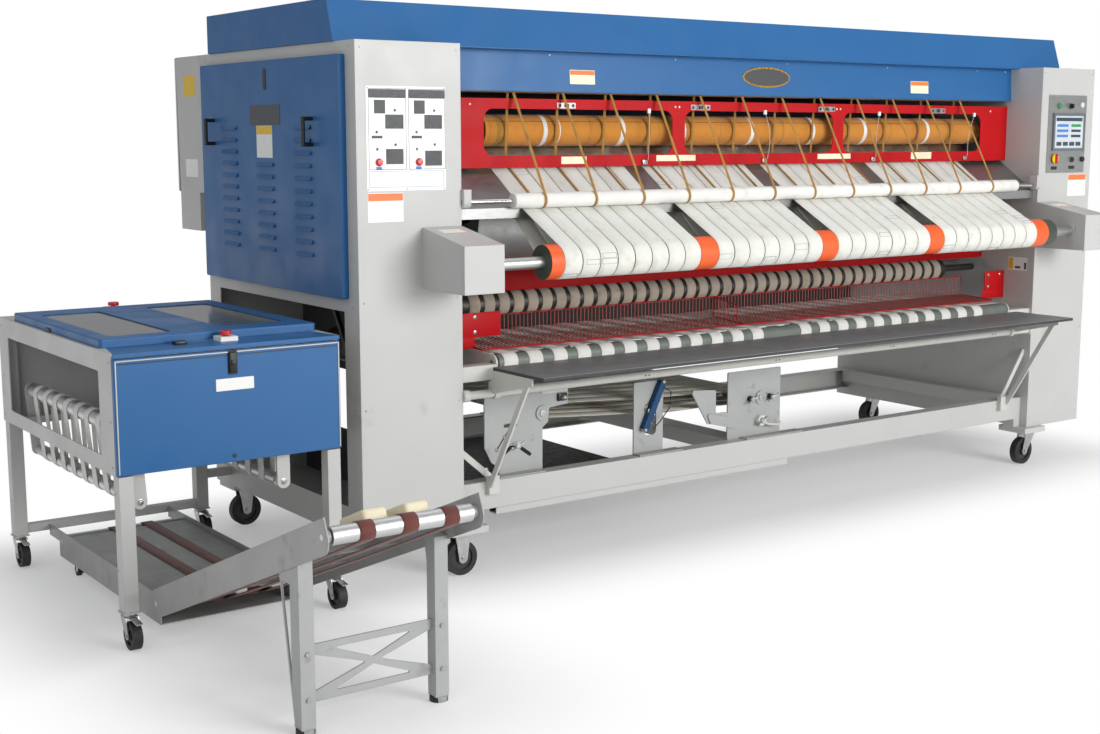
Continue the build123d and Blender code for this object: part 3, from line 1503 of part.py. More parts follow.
with BuildPart() as crossfold_frame:
    block(crossfold_x, crossfold_y, (crossfold_bottom, crossfold_top))
    inner_x = (crossfold_left + crossfold_sheet, crossfold_right - crossfold_sheet)
    inner_y = (crossfold_face + crossfold_sheet, crossfold_back - crossfold_sheet)
    inner_z = (crossfold_bottom, crossfold_top - crossfold_sheet)
    block(inner_x, inner_y, inner_z, mode=Mode.SUBTRACT)
    open_y = (crossfold_face + side_opening[0], crossfold_back - side_opening[1])
    open_z = (crossfold_bottom + side_opening[2], crossfold_top - side_opening[3])
    side_hole = rectangle((open_y[0], open_z[0]), (open_y[1], open_z[1]))
    side_plane = across_x(crossfold_left)
    plate(side_plane, side_hole, crossfold_width, corner=side_opening_corner, mode=Mode.SUBTRACT)
    post_x = (crossfold_left + crossfold_post, crossfold_right - crossfold_post)
    front_y = (crossfold_face, crossfold_face + crossfold_sheet)
    block(post_x, front_y, open_z, mode=Mode.SUBTRACT)
    top_hole_x = (lid_x[0] + crossfold_post / 2, lid_x[1] - crossfold_post / 2)
    top_hole_y = (lid_y[0] + crossfold_post / 2, lid_y[1] - crossfold_post / 2)
    top_sheet_z = (crossfold_top - crossfold_sheet, crossfold_top)
    block(top_hole_x, top_hole_y, top_sheet_z, mode=Mode.SUBTRACT)
    strip_z = (crossfold_top - strip_drop, crossfold_top)
    block(crossfold_x, (panel_front, crossfold_face), strip_z)
    for leg_y in (front_leg, rear_leg):
        for leg_x in leg_x_starts:
            leg_z = (leg_bottom + foot_plate_thickness, crossfold_bottom)
            block((leg_x, leg_x + leg_size), (leg_y, leg_y + leg_size), leg_z)
            foot_x = leg_x + (leg_size - foot_plate) / 2
            foot_y = leg_y + (leg_size - foot_plate) / 2
            foot_z = (leg_bottom, leg_z[0])
            block((foot_x, foot_x + foot_plate), (foot_y, foot_y + foot_plate), foot_z)
    for post_y in ((crossfold_face, crossfold_face + crossfold_post), (rear_leg, crossfold_back)):
        for post_x_start in (crossfold_left, crossfold_right - crossfold_post):
            corner_x = (post_x_start, post_x_start + crossfold_post)
            block(corner_x, post_y, (crossfold_bottom, crossfold_top))
        block(crossfold_x, post_y, (crossfold_bottom, crossfold_bottom + crossfold_sheet))
    rail_y = (arm_back - rear_rail_width / 2, arm_back + rear_rail_width / 2)
    block(crossfold_x, rail_y, (crossfold_bottom, crossfold_bottom + rear_rail_height))
    arms = ((upper_roller_inset, left_unit_inset), (right_unit_inset, right_unit_inset))
    for arm_y in (arm_front + arm_plate, arm_back + arm_plate):
        for top_inset, foot_inset in arms:
            top_end = (crossfold_left + top_inset, upper_roller_height)
            foot_end = (crossfold_left + foot_inset, lower_roller_height)
            plate(across_y(arm_y), strip(top_end, foot_end, arm_plate_width), arm_plate)
            for end_x, end_z in (top_end, foot_end):
                disc(axis_y(end_x, end_z), arm_y - arm_plate, arm_y, arm_plate_width / 2)
    for roller_axis in (upper_axis, lower_axis, right_axis):
        for arm_y in (arm_front, arm_back):
            hole = crossfold_journal + running_gap
            disc(roller_axis, arm_y, arm_y + arm_plate, hole, mode=Mode.SUBTRACT)
    disc(right_bar_axis, arm_front, arm_back + arm_plate, right_bar_radius)
    for stop_y in stop_places:
        base_x = (stop_x - stop_base / 2, stop_x + stop_base / 2)
        base_y = (stop_y - stop_base / 2, stop_y + stop_base / 2)
        base_z = (crossfold_top, crossfold_top + stop_base_height)
        block(base_x, base_y, base_z)
        stem_hole = stop_stem + seat_gap
        stem_z = (crossfold_top - crossfold_sheet, base_z[1])
        disc(axis_z(stop_x, stop_y), *stem_z, stem_hole, mode=Mode.SUBTRACT)
    dock_x = (leg_x_starts[1] + leg_size, left_outer)
    dock_y = (front + dock_setback, front + dock_setback + dock_bar)
    block(dock_x, dock_y, (dock_height - dock_bar, dock_height))
    tie_x = (leg_x_starts[0] + leg_size, leg_x_starts[1])
    block(tie_x, (crossfold_back - leg_inset - tie_bar[0], crossfold_back - leg_inset), tie_bar[1:])

finish(crossfold_frame, "crossfold_frame")

for stop_name, stop_y in zip(("front", "rear"), stop_places):
    with BuildPart() as stop_button:
        stop_axis = axis_z(stop_x, stop_y)
        head_bottom = crossfold_top + stop_base_height + button_travel + seat_gap
        disc(stop_axis, head_bottom, head_bottom + stop_head_height, stop_head_radius)
        fillet(stop_button.edges().sort_by(Axis.Z)[-1], radius=stop_head_height / 3)
        disc(stop_axis, crossfold_top - crossfold_sheet, head_bottom, stop_stem)
    finish(stop_button, f"stop_button_{stop_name}")

lid_bottom = crossfold_top + seat_gap
lid_top = lid_bottom + lid_height
with BuildPart() as crossfold_lid:
    block(lid_x, lid_y, (lid_bottom, lid_top))
    fillet(crossfold_lid.edges().filter_by(Axis.Z), radius=lid_corner)
    fillet(crossfold_lid.faces().sort_by(Axis.Z)[-1].edges(), radius=lid_edge)
    pan_x = (lid_x[0] + lid_sheet, lid_x[1] - lid_sheet)
    pan_y = (lid_y[0] + lid_sheet, lid_y[1] - lid_sheet)
    block(pan_x, pan_y, (lid_bottom, lid_top - lid_sheet), mode=Mode.SUBTRACT)
    for index in range(len(lid_window_spans)):
        window_x, window_y = lid_window(index, 0)
        opening = rectangle((window_x[0], window_y[0]), (window_x[1], window_y[1]))
        skin_plane = Plane.XY.offset(lid_top - lid_sheet)
        plate(skin_plane, opening, lid_sheet, corner=lid_window_corner, mode=Mode.SUBTRACT)

finish(crossfold_lid, "crossfold_lid")

with BuildPart() as lid_windows:
    for index in range(len(lid_window_spans)):
        window_x, window_y = lid_window(index, lid_side_margin)
        glass_z = (lid_top - lid_sheet - window_glass, lid_top - lid_sheet)
        block(window_x, window_y, glass_z)

finish(lid_windows, "lid_windows")

with BuildPart() as crossfold_front_panel:
    panel_z = (crossfold_bottom + front_panel_gap, crossfold_top - strip_drop - front_panel_gap)
    block(crossfold_x, (panel_front, crossfold_face), panel_z)
    upright_edges = crossfold_front_panel.faces().sort_by(Axis.Y)[0].edges().filter_by(Axis.Z)
    fillet(upright_edges, radius=front_panel_edge)
    pan_x = (crossfold_left + panel_skin, crossfold_right - panel_skin)
    pan_z = (panel_z[0] + panel_skin, panel_z[1] - panel_skin)
    block(pan_x, (panel_front + panel_skin, crossfold_face), pan_z, mode=Mode.SUBTRACT)
    latch_x = (crossfold_left + latch_inset, crossfold_left + latch_inset + latch_size[0])
    latch_z = (panel_z[1] - latch_size[1], panel_z[1])
    block(latch_x, (panel_front - panel_skin, panel_front), latch_z)

finish(crossfold_front_panel, "crossfold_front_panel")

fold_roller_y = (arm_front + arm_plate + fold_roller_margin, arm_back - fold_roller_margin)
for roller_name, roller_axis, roller_radius in (
    ("upper", upper_axis, upper_roller_radius),
    ("lower", lower_axis, lower_roller_radius),
    ("right", right_axis, lower_roller_radius),
):
    with BuildPart() as crossfold_roller:
        journal_y = (arm_front - journal_end_gap, arm_back + arm_plate + journal_end_gap)
        roller(roller_axis, *fold_roller_y, roller_radius, roller_wall, crossfold_journal, *journal_y)
    finish(crossfold_roller, f"crossfold_roller_{roller_name}")

with BuildPart() as crossfold_belts:
    first_belt = crossfold_face + belt_start
    belt_spans = []
    for belt in range(fold_belt_count):
        belt_y = first_belt + belt * fold_belt_pitch
        belt_spans.append((belt_y, belt_y + fold_belt_width))
    slant = left_unit_inset - upper_roller_inset
    left_wheels = [
        (0, upper_roller_height - lower_roller_height, upper_roller_radius + belt_gap),
        (-slant, 0, lower_roller_radius + belt_gap),
    ]
    left_plane = axis_y(crossfold_left + upper_roller_inset, lower_roller_height)
    belts(left_plane, belt_spans, left_wheels, conveyor_belt_thickness)
    right_wheels = [
        (0, upper_roller_height - lower_roller_height, right_bar_radius + belt_gap),
        (0, 0, lower_roller_radius + belt_gap),
    ]
    belts(right_axis, belt_spans, right_wheels, conveyor_belt_thickness)

finish(crossfold_belts, "crossfold_belts")

# ------------------------------------------------------------------ cross folder casters
leg_places = [(leg_x, leg_y) for leg_y in (front_leg, rear_leg) for leg_x in leg_x_starts]
for caster_name, (leg_x, leg_y) in zip(corner_names, leg_places):
    with BuildPart() as crossfold_caster:
        pin = (leg_x + leg_size / 2, leg_y + leg_size / 2)
        wheel_start = pin[0] - small_wheel_width / 2
        wheel_end = pin[0] + small_wheel_width / 2
        wheel_axis = axis_x(pin[1] - small_trail, small_wheel_radius)
        fork_top = leg_bottom - small_race - small_wheel_radius
        tread(wheel_axis, wheel_start, wheel_end, small_wheel_radius)
        fork_sizes = (fork_top, small_trail, small_plate, small_cheek, small_axle)
        caster_fork(wheel_axis, wheel_start, wheel_end, *fork_sizes)
        disc(axis_z(*pin), leg_bottom - small_race, leg_bottom - seat_gap, small_race_radius)
        lever_foot = (small_trail - 2 * small_cheek, fork_top)
        lever_tip = (lever_foot[0] - brake_reach, fork_top - small_race)
        lever_plane = wheel_axis.offset(pin[0] - brake_width / 2)
        plate(lever_plane, strip(lever_foot, lever_tip, brake_sheet), brake_width)
        plate(lever_plane, strip(lever_foot, (0, fork_top - small_plate), 2 * brake_sheet), brake_width)
    finish(crossfold_caster, f"crossfold_caster_{caster_name}")

# ------------------------------------------------------------------ discharge conveyor
conveyor_inner_left = conveyor_left + conveyor_plate
conveyor_inner_right = conveyor_right - conveyor_plate
corner_at = (front + corner_setback, corner_height)
tail_at = (front + tail_setback, corner_height)
discharge_at = (front - discharge_reach, discharge_height)
incline_length = math.hypot(discharge_at[0] - corner_at[0], discharge_at[1] - corner_at[1])
incline_way = (
    (discharge_at[0] - corner_at[0]) / incline_length,
    (discharge_at[1] - corner_at[1]) / incline_length,
)


def on_incline(along, above):
    """A (y, z) point on the incline: along it from the corner roller, and square above its axis."""
    return (
        corner_at[0] + incline_way[0] * along + incline_way[1] * above,
        corner_at[1] + incline_way[1] * along - incline_way[0] * above,
    )


def incline_block(start, end, low, high):
    """The corners of a block on the incline."""
    return [on_incline(start, low), on_incline(end, low), on_incline(end, high), on_incline(start, high)]


belt_face = conveyor_roller_radius + belt_gap
slat_top = belt_face - belt_gap
tray_y = (front - tray_front_reach, front + tray_back_setback)

with BuildPart() as conveyor_frame:
    for plate_x in (conveyor_left, conveyor_inner_right):
        tray_outline = rectangle((tray_y[0], tray_bottom), (tray_y[1], tray_top))
        plate(across_x(plate_x), tray_outline, conveyor_plate)
        half_depth = incline_plate_depth / 2
        incline_outline = incline_block(0, incline_length + incline_overrun, -half_depth, half_depth)
        plate(across_x(plate_x), incline_outline, conveyor_plate)
        disc(axis_x(*corner_at), plate_x, plate_x + conveyor_plate, half_depth)
        hook_y = (tray_y[1], crossfold_back - leg_inset - tie_bar[0])
        hook_z = (tray_top - hook_height, tray_top)
        block((plate_x, plate_x + conveyor_plate), hook_y, hook_z)
    tip_edges = conveyor_frame.edges().filter_by(Axis.X).group_by(Axis.Y)[0]
    fillet(tip_edges, radius=tip_radius)
    inner_x = (conveyor_inner_left, conveyor_inner_right)
    block(inner_x, tray_y, (tray_bottom, tray_bottom + tray_sheet))
    slide_y = (corner_at[0] + 2 * conveyor_roller_radius, tail_at[0] - 2 * conveyor_roller_radius)
    slide_top = corner_height + conveyor_roller_radius - belt_gap
    block(inner_x, slide_y, (slide_top - tray_sheet, slide_top))
    for place in cross_bar_places:
        bar_outline = incline_block(place, place + cross_bar, -cross_bar / 4, slat_top - slat_thickness)
        plate(across_x(inner_x[0]), bar_outline, inner_x[1] - inner_x[0])
    for offset in slat_offsets:
        slat_plane = across_x(conveyor_left + offset)
        slat_end = incline_length - slat_end_gap
        slat = incline_block(slat_start, slat_end, slat_top - slat_thickness, slat_top)
        plate(slat_plane, slat, slat_width)
        pad_end = incline_length - pad_end_gap
        pad = incline_block(pad_end - pad_length, pad_end, slat_top, slat_top + pad_height)
        plate(slat_plane, pad, slat_width, corner=pad_corner)
    for roller_at in (corner_at, tail_at, discharge_at):
        bearing_radius = conveyor_journal + bearing_wall / 2
        for bearing_x in (inner_x[0], inner_x[1] - conveyor_bearing):
            disc(axis_x(*roller_at), bearing_x, bearing_x + conveyor_bearing, bearing_radius)
        hole = conveyor_journal + running_gap
        disc(axis_x(*roller_at), conveyor_left, conveyor_right, hole, mode=Mode.SUBTRACT)
    lug_starts = (
        inner_x[0] + tray_wheel_inset + tray_wheel_width + lug_gap,
        inner_x[1] - tray_wheel_inset - tray_wheel_width - lug_gap - conveyor_plate,
    )
    for lug_x in lug_starts:
        lug_y = (front + tray_wheel_setback - lug_width / 2, front + tray_wheel_setback + lug_width / 2)
        lug_z = (tray_wheel_radius - 2 * tray_axle, tray_bottom)
        block((lug_x, lug_x + conveyor_plate), lug_y, lug_z)
        axle_axis = axis_x(front + tray_wheel_setback, tray_wheel_radius)
        axle_hole = tray_axle + running_gap
        disc(axle_axis, lug_x, lug_x + conveyor_plate, axle_hole, mode=Mode.SUBTRACT)

finish(conveyor_frame, "conveyor_frame")

for roller_name, roller_at, roller_radius in (
    ("discharge", discharge_at, discharge_radius),
    ("corner", corner_at, conveyor_roller_radius),
    ("tail", tail_at, conveyor_roller_radius),
):
    with BuildPart() as conveyor_roller:
        end_inset = conveyor_bearing + roller_end_gap
        roller_x = (conveyor_inner_left + end_inset, conveyor_inner_right - end_inset)
        journal_x = (conveyor_left, conveyor_right)
        roller(axis_x(*roller_at), *roller_x, roller_radius, roller_wall, conveyor_journal, *journal_x)
    finish(conveyor_roller, f"conveyor_{roller_name}_roller")


def belt_x_spans(offsets):
    """The X spans of the belts that start at these offsets from the conveyor's left plate."""
    return [(conveyor_left + offset, conveyor_left + offset + conveyor_belt_width) for offset in offsets]


with BuildPart() as conveyor_belts:
    incline_wheels = [
        (*discharge_at, discharge_radius + belt_gap),
        (*corner_at, belt_face),
    ]
    belts(axis_x(0, 0), belt_x_spans(incline_belt_offsets), incline_wheels, conveyor_belt_thickness)
    tray_wheels_at = [(*corner_at, belt_face), (*tail_at, belt_face)]
    belts(axis_x(0, 0), belt_x_spans(tray_belt_offsets), tray_wheels_at, conveyor_belt_thickness)

finish(conveyor_belts, "conveyor_belts")

# ------------------------------------------------------------------ conveyor stand
stand_y = (front - stand_reach - stand_leg / 2, front - stand_reach + stand_leg / 2)
stand_legs = (conveyor_inner_left, conveyor_inner_right - stand_leg)
with BuildPart() as conveyor_stand:
    brace_x = (stand_legs[0] + stand_leg, stand_legs[1])
    brace_z = (brace_bolts[0] - brace_margin, brace_bolts[1] + brace_margin)
    brace_plane = across_y(front - stand_reach + brace_thickness / 2)
    plate(brace_plane, rectangle((brace_x[0], brace_z[0]), (brace_x[1], brace_z[1])), brace_thickness)
    middle_x = (brace_x[0] + brace_x[1]) / 2
    middle_z = (brace_z[0] + brace_z[1]) / 2
    wide = (brace_x[1] - brace_x[0]) / 2
    tall = (brace_z[1] - brace_z[0]) / 2 - brace_web
    for side in (-1, 1):
        side_notch = [
            (middle_x + side * (wide + brace_web), middle_z - tall),
            (middle_x + side * (wide + brace_web), middle_z + tall),
            (middle_x + side * brace_web, middle_z),
        ]
        end_hole = [
            (middle_x - wide + 3 * brace_web, middle_z + side * tall),
            (middle_x + wide - 3 * brace_web, middle_z + side * tall),
            (middle_x, middle_z + side * brace_web / 2),
        ]
        plate(brace_plane, side_notch, brace_thickness, corner=brace_corner, mode=Mode.SUBTRACT)
        plate(brace_plane, end_hole, brace_thickness, corner=brace_corner, mode=Mode.SUBTRACT)
    gusset_foot = 2 * foot_height
    gusset_top = stand_top - foot_height
    gusset_slope = gusset_reach / (gusset_top - gusset_foot)
    gusset_starts = (conveyor_inner_left, conveyor_inner_right - gusset_thickness)
    for leg_x, gusset_start in zip(stand_legs, gusset_starts):
        block((leg_x, leg_x + stand_leg), stand_y, (foot_height, stand_top + leg_lap))
        foot_axis = axis_z(leg_x + stand_leg / 2, front - stand_reach)
        disc(foot_axis, 0, foot_height, foot_radius)
        gusset = [
            (stand_y[1], gusset_foot),
            (stand_y[1] + gusset_reach, gusset_top),
            (stand_y[1], stand_top),
        ]
        slot_back = gusset_slope * (gusset_slot_top - gusset_foot) - gusset_web
        gusset_slot = [
            (stand_y[1] + gusset_web, gusset_foot + 2 * gusset_web / gusset_slope),
            (stand_y[1] + slot_back, gusset_slot_top),
            (stand_y[1] + gusset_web, gusset_slot_top),
        ]
        plate(across_x(gusset_start), gusset, gusset_thickness)
        plate(across_x(gusset_start), gusset_slot, gusset_thickness, mode=Mode.SUBTRACT)
    for leg_x in stand_legs:
        for bolt_z in brace_bolts:
            bolt_axis = axis_y(leg_x + stand_leg / 2, bolt_z)
            disc(bolt_axis, stand_y[0] - bolt_rise, stand_y[0], bolt_radius)

finish(conveyor_stand, "conveyor_stand")

with BuildPart() as tray_wheels:
    wheel_axis = axis_x(front + tray_wheel_setback, tray_wheel_radius)
    axle_x = (conveyor_inner_left + tray_wheel_inset, conveyor_inner_right - tray_wheel_inset)
    disc(wheel_axis, *axle_x, tray_axle)
    for wheel_start in (axle_x[0], axle_x[1] - tray_wheel_width):
        disc(wheel_axis, wheel_start, wheel_start + tray_wheel_width, tray_wheel_radius)

finish(tray_wheels, "tray_wheels")
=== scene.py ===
"""Looks of the flatwork ironer with its cross folder and discharge conveyor."""
import math
import random

import bmesh
import bpy
from mathutils import Matrix, Vector


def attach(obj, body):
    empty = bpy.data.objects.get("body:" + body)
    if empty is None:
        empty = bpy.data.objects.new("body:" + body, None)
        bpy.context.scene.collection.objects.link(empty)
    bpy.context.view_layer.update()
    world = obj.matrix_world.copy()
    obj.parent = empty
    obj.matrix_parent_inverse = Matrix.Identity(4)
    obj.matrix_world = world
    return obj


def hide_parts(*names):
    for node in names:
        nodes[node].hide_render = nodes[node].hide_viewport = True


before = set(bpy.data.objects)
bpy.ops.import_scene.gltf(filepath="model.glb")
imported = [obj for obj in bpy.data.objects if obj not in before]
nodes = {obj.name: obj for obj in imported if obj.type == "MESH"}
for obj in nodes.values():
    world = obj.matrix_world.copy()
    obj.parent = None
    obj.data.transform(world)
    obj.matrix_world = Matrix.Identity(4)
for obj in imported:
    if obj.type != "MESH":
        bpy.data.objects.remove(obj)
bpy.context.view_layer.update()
random.seed(7)

# ------------------------------------------------------------------ places
# The machine's own datum: millimetres, X right from the left housing's outer face, Y back from the
# housings' fronts, Z up. The machine's places are given in it, and place() sets them out in the row
# frame, in metres.
DATUM = (1540.0, 177.5)
MM = 0.001
LEFT_WALL = 401.0
RIGHT_WALL = 3543.0
FAR = 9000.0
# shafts along X, as (y, z)
FEED_ROLLER = (-180, 1120)
GUIDE_ROLLER = (5, 1322)
NOSE_BAR = (262, 1446)
NIP_BAR = (228, 1450)
TAPE_BAR = (205, 1712)
PRESSURE_ROLLER = (290, 1566)
EXIT_ROLLER = (360, 921)
STRIPPER_BAR = (440, 940)
DELIVERY_FRONT = (45, 750)
DELIVERY_BACK = (620, 750)
INCLINE_TOP = (-1110, 568)
INCLINE_FOOT = (30, 104)
TRAY_TAIL = (935, 104)
TRAY_AXLE = (826, 20)
# shafts along Y, as (x, z)
FOLD_LEFT = (803, 536)
FOLD_RIGHT = (1906, 482)
CROSSFOLD_UPPER = (-780, 657)
CROSSFOLD_LOWER = (-765, 441)
CROSSFOLD_BAR = (-285, 657)
CROSSFOLD_RIGHT = (-285, 441)
# the ways that faces look; CANOPY is the way the canopy's sloping front looks
FRONT = (0, -1, 0)
LEFT = (-1, 0, 0)
RIGHT = (1, 0, 0)
BACK = (0, 1, 0)
CANOPY = (0, -0.998, 0.062)
# the y of the roll guard's front
GUARD_FRONT = 190


def place(x, y, z):
    return Vector(((x - DATUM[0]) * MM, (y - DATUM[1]) * MM, z * MM))


def datum(point):
    return (point.x / MM + DATUM[0], point.y / MM + DATUM[1], point.z / MM)


# ------------------------------------------------------------------ materials


def srgb(*screen):
    """A colour from its 0-255 screen values."""
    shares = [channel / 255 for channel in screen]
    return (*(c / 12.92 if c <= 0.04045 else ((c + 0.055) / 1.055) ** 2.4 for c in shares), 1.0)


def shade(colour, factor):
    return (*(min(1.0, c * factor) for c in colour[:3]), 1.0)


class Shader:
    """A node material under construction."""

    def __init__(self, name):
        self.material = bpy.data.materials.new(name)
        self.material.use_nodes = True
        self.tree = self.material.node_tree
        self.bsdf = self.tree.nodes["Principled BSDF"]
        self.coords = self.node("ShaderNodeTexCoord").outputs["Object"]

    def node(self, kind, **values):
        made = self.tree.nodes.new(kind)
        for key, value in values.items():
            setattr(made, key, value)
        return made

    def link(self, output, socket):
        self.tree.links.new(output, socket)

    def feed(self, value, socket):
        """Gives a socket a number or a colour, or another node's output."""
        if isinstance(value, bpy.types.NodeSocket):
            self.link(value, socket)
        else:
            socket.default_value = value

    def set(self, name, value):
        self.feed(value, self.bsdf.inputs[name])

    def scaled(self, stretch):
        mapping = self.node("ShaderNodeMapping")
        mapping.inputs["Scale"].default_value = stretch
        self.link(self.coords, mapping.inputs["Vector"])
        return mapping.outputs["Vector"]

    def noise(self, size, detail=3.0, stretch=(1, 1, 1)):
        made = self.node("ShaderNodeTexNoise")
        made.inputs["Scale"].default_value = 1 / size
        made.inputs["Detail"].default_value = detail
        self.link(self.scaled(stretch), made.inputs["Vector"])
        return made.outputs["Fac"]

    def threads(self, size, axis):
        """Slightly wavy threads that follow each other along an axis, one per size."""
        made = self.node("ShaderNodeTexWave", wave_type="BANDS", bands_direction=axis)
        made.inputs["Scale"].default_value = math.tau / 20 / size
        made.inputs["Distortion"].default_value = 0.4
        self.link(self.coords, made.inputs["Vector"])
        return made.outputs["Fac"]

    def ramp(self, value, low, high, to_low=0.0, to_high=1.0, **values):
        """Stretches low..high of a value over to_low..to_high."""
        made = self.node("ShaderNodeMapRange", **values)
        for socket, number in zip(("From Min", "From Max", "To Min", "To Max"), (low, high, to_low, to_high)):
            made.inputs[socket].default_value = number
        self.link(value, made.inputs["Value"])
        return made.outputs["Result"]

    def cloud(self, value, low=0.0, high=1.0):
        """Stretches the middle of a noise, where it nearly always lies, over low..high."""
        return self.ramp(value, 0.3, 0.7, low, high)

    def math(self, operation, *values):
        made = self.node("ShaderNodeMath", operation=operation)
        for socket, value in zip(made.inputs, values):
            self.feed(value, socket)
        return made.outputs[0]

    def mix(self, factor, first, second):
        made = self.node("ShaderNodeMix", data_type="RGBA")
        for value, socket in zip((first, second), [s for s in made.inputs if s.type == "RGBA"]):
            self.feed(value, socket)
        self.feed(factor, made.inputs["Factor"])
        return [s for s in made.outputs if s.type == "RGBA"][0]

    def bump(self, height, strength, distance, under=None):
        made = self.node("ShaderNodeBump")
        made.inputs["Strength"].default_value = strength
        made.inputs["Distance"].default_value = distance
        self.link(height, made.inputs["Height"])
        if under is not None:
            self.link(under, made.inputs["Normal"])
        return made.outputs["Normal"]

    def rounded(self, radius):
        made = self.node("ShaderNodeBevel", samples=3)
        made.inputs["Radius"].default_value = radius
        return made.outputs["Normal"]


def surface(name, colour, rough=0.5, metal=0.0, mottle=0.06, mottle_size=0.12, grain=0.0012, bump=0.25,
            rough_spread=0.08, edge=0.0, coat=0.0, stretch=(1, 1, 1), dirt=None, dirt_share=0.0, shine=0.5):
    """A finish with cloudy colour, uneven gloss and a fine grain, and dirt in patches. Colours are
    screen values."""
    colour = srgb(*colour)
    shader = Shader(name)
    cloud = shader.noise(mottle_size, 4.0, stretch)
    base = shader.mix(shader.cloud(cloud), shade(colour, 1 - mottle), shade(colour, 1 + mottle))
    if dirt is not None:
        patches = shader.ramp(shader.noise(mottle_size * 0.6, 6.0), 0.75 - dirt_share, 0.85)
        base = shader.mix(patches, base, srgb(*dirt))
    shader.set("Base Color", base)
    gloss = shader.noise(mottle_size * 0.4, 5.0)
    shader.set("Roughness", shader.cloud(gloss, rough - rough_spread, rough + rough_spread))
    under = shader.rounded(edge) if edge else None
    fine = shader.noise(grain, 2.0, stretch)
    shader.set("Normal", shader.bump(fine, bump, grain * 0.25, under))
    shader.set("Metallic", metal)
    shader.set("Specular IOR Level", shine)
    if coat:
        shader.set("Coat Weight", coat)
        shader.set("Coat Roughness", 0.15)
    return shader.material


def woven(name, colour, thread, rough, stain, weave, mottle):
    """Cloth with warp and weft threads, fuzz and faint stains. Colours are screen values."""
    colour = srgb(*colour)
    shader = Shader(name)
    along, across_y, across_z = (shader.threads(thread, axis) for axis in "XYZ")
    cloth = shader.math("MULTIPLY", along, shader.math("MAXIMUM", across_y, across_z))
    cloud = shader.cloud(shader.noise(0.09, 4.0))
    base = shader.mix(cloud, shade(colour, 1 - mottle), shade(colour, 1 + mottle))
    base = shader.mix(shader.cloud(cloth, 0.0, 0.12), base, shade(colour, 0.75))
    base = shader.mix(shader.ramp(shader.noise(0.05, 5.0), 0.55, 0.8), base, srgb(*stain))
    shader.set("Base Color", base)
    shader.set("Roughness", shader.cloud(shader.noise(0.02), rough - 0.08, min(1.0, rough + 0.06)))
    shader.set("Normal", shader.bump(cloth, weave, thread * 0.4))
    shader.set("Sheen Weight", 0.15)
    return shader.material


def brushed(name, colour, rough, axis, scratch, edge=0.0):
    """Turned or brushed metal with fine lines along the axis."""
    stretch = {"X": (1, 14, 14), "Y": (14, 1, 14)}[axis]
    return surface(name, colour, rough, 1.0, 0.05, 0.05, 0.004, scratch, 0.07, edge, stretch=stretch)


GREY = surface("grey_enamel_paint", (186, 186, 183), 0.42, mottle=0.025, mottle_size=0.3, grain=0.0016,
               bump=0.3, edge=0.0025, dirt=(150, 148, 142), dirt_share=0.1)
GREY_LIGHT = surface("pale_grey_paint", (196, 196, 190), 0.45, mottle=0.03, mottle_size=0.2, bump=0.2,
                     edge=0.0015, dirt=(160, 157, 148), dirt_share=0.12)
GREY_TRAY = surface("tray_grey_paint", (150, 151, 148), 0.4, mottle=0.05, mottle_size=0.16, edge=0.0015,
                    dirt=(112, 108, 100), dirt_share=0.16)
BLUE = surface("blue_enamel_paint", (34, 94, 148), 0.42, mottle=0.03, mottle_size=0.35, grain=0.0014,
               bump=0.3, edge=0.003, shine=0.4)
RED = surface("red_enamel_paint", (178, 8, 16), 0.5, mottle=0.05, mottle_size=0.2, edge=0.0015, shine=0.2)
# The net's red coating, made paler and greyer than the frame's red: the paleness is painted sheen for the
# highlights along the thin wires
NET_RED_WITH_SHEEN = surface("red_wire_with_painted_sheen", (176, 84, 78), 0.45, mottle=0.06, mottle_size=0.05, bump=0.1)
# Dark enamel: the roll drive's own paint, and also painted shade on the floor pan inside the base frame and
# on the rear cover's inner faces
DARK_PAINT_AND_SHADE = surface("dark_paint_and_painted_shade", (46, 47, 46), 0.5, mottle=0.12, mottle_size=0.08, edge=0.001,
               dirt=(88, 84, 76), dirt_share=0.14)
# Painted shade: a dark grey for inner faces that lie in shadow between the housings and panels
PAINTED_SHADE_GREY = surface("painted_shade_grey", (70, 72, 70), 0.6, mottle=0.1, mottle_size=0.12)
SHELF = surface("grey_laminate", (124, 127, 128), 0.5, shine=0.3, mottle=0.04, mottle_size=0.25,
                grain=0.0008, bump=0.15, edge=0.001, dirt=(120, 122, 122), dirt_share=0.1)
SHELF_EDGE = surface("laminate_edge", (48, 50, 53), 0.5, mottle=0.06, mottle_size=0.05)
STEEL = brushed("machined_steel", (196, 196, 192), 0.42, "X", 0.06, edge=0.0008)
POLISHED = brushed("polished_cylinder", (196, 198, 196), 0.38, "X", 0.05)
SATIN = brushed("satin_steel_sheet", (168, 170, 168), 0.42, "X", 0.1)
ALUMINIUM = brushed("bright_aluminium", (206, 207, 206), 0.44, "Y", 0.05, edge=0.001)
CHROME = surface("chrome_plate", (222, 222, 222), 0.12, 1.0, 0.03, 0.03, 0.002, 0.04, 0.05, 0.0006)
ZINC = surface("zinc_plate", (176, 178, 176), 0.36, 1.0, 0.12, 0.02, 0.002, 0.1, 0.1, 0.0008,
               dirt=(120, 116, 104), dirt_share=0.08)
IRON = surface("worn_dark_steel", (84, 82, 78), 0.45, 0.8, 0.15, 0.02, 0.002, 0.2, 0.12, 0.0008)
PRINT = surface("dark_print", (64, 66, 68), 0.5, mottle=0.05, mottle_size=0.02)
FOLDER_GREY = surface("folder_grey_paint", (160, 162, 160), 0.45, mottle=0.04, mottle_size=0.1, bump=0.25,
                      edge=0.001, dirt=(116, 112, 104), dirt_share=0.12)
DARK_GREEN = surface("dark_green_roller", (58, 68, 58), 0.5, mottle=0.1, mottle_size=0.05)
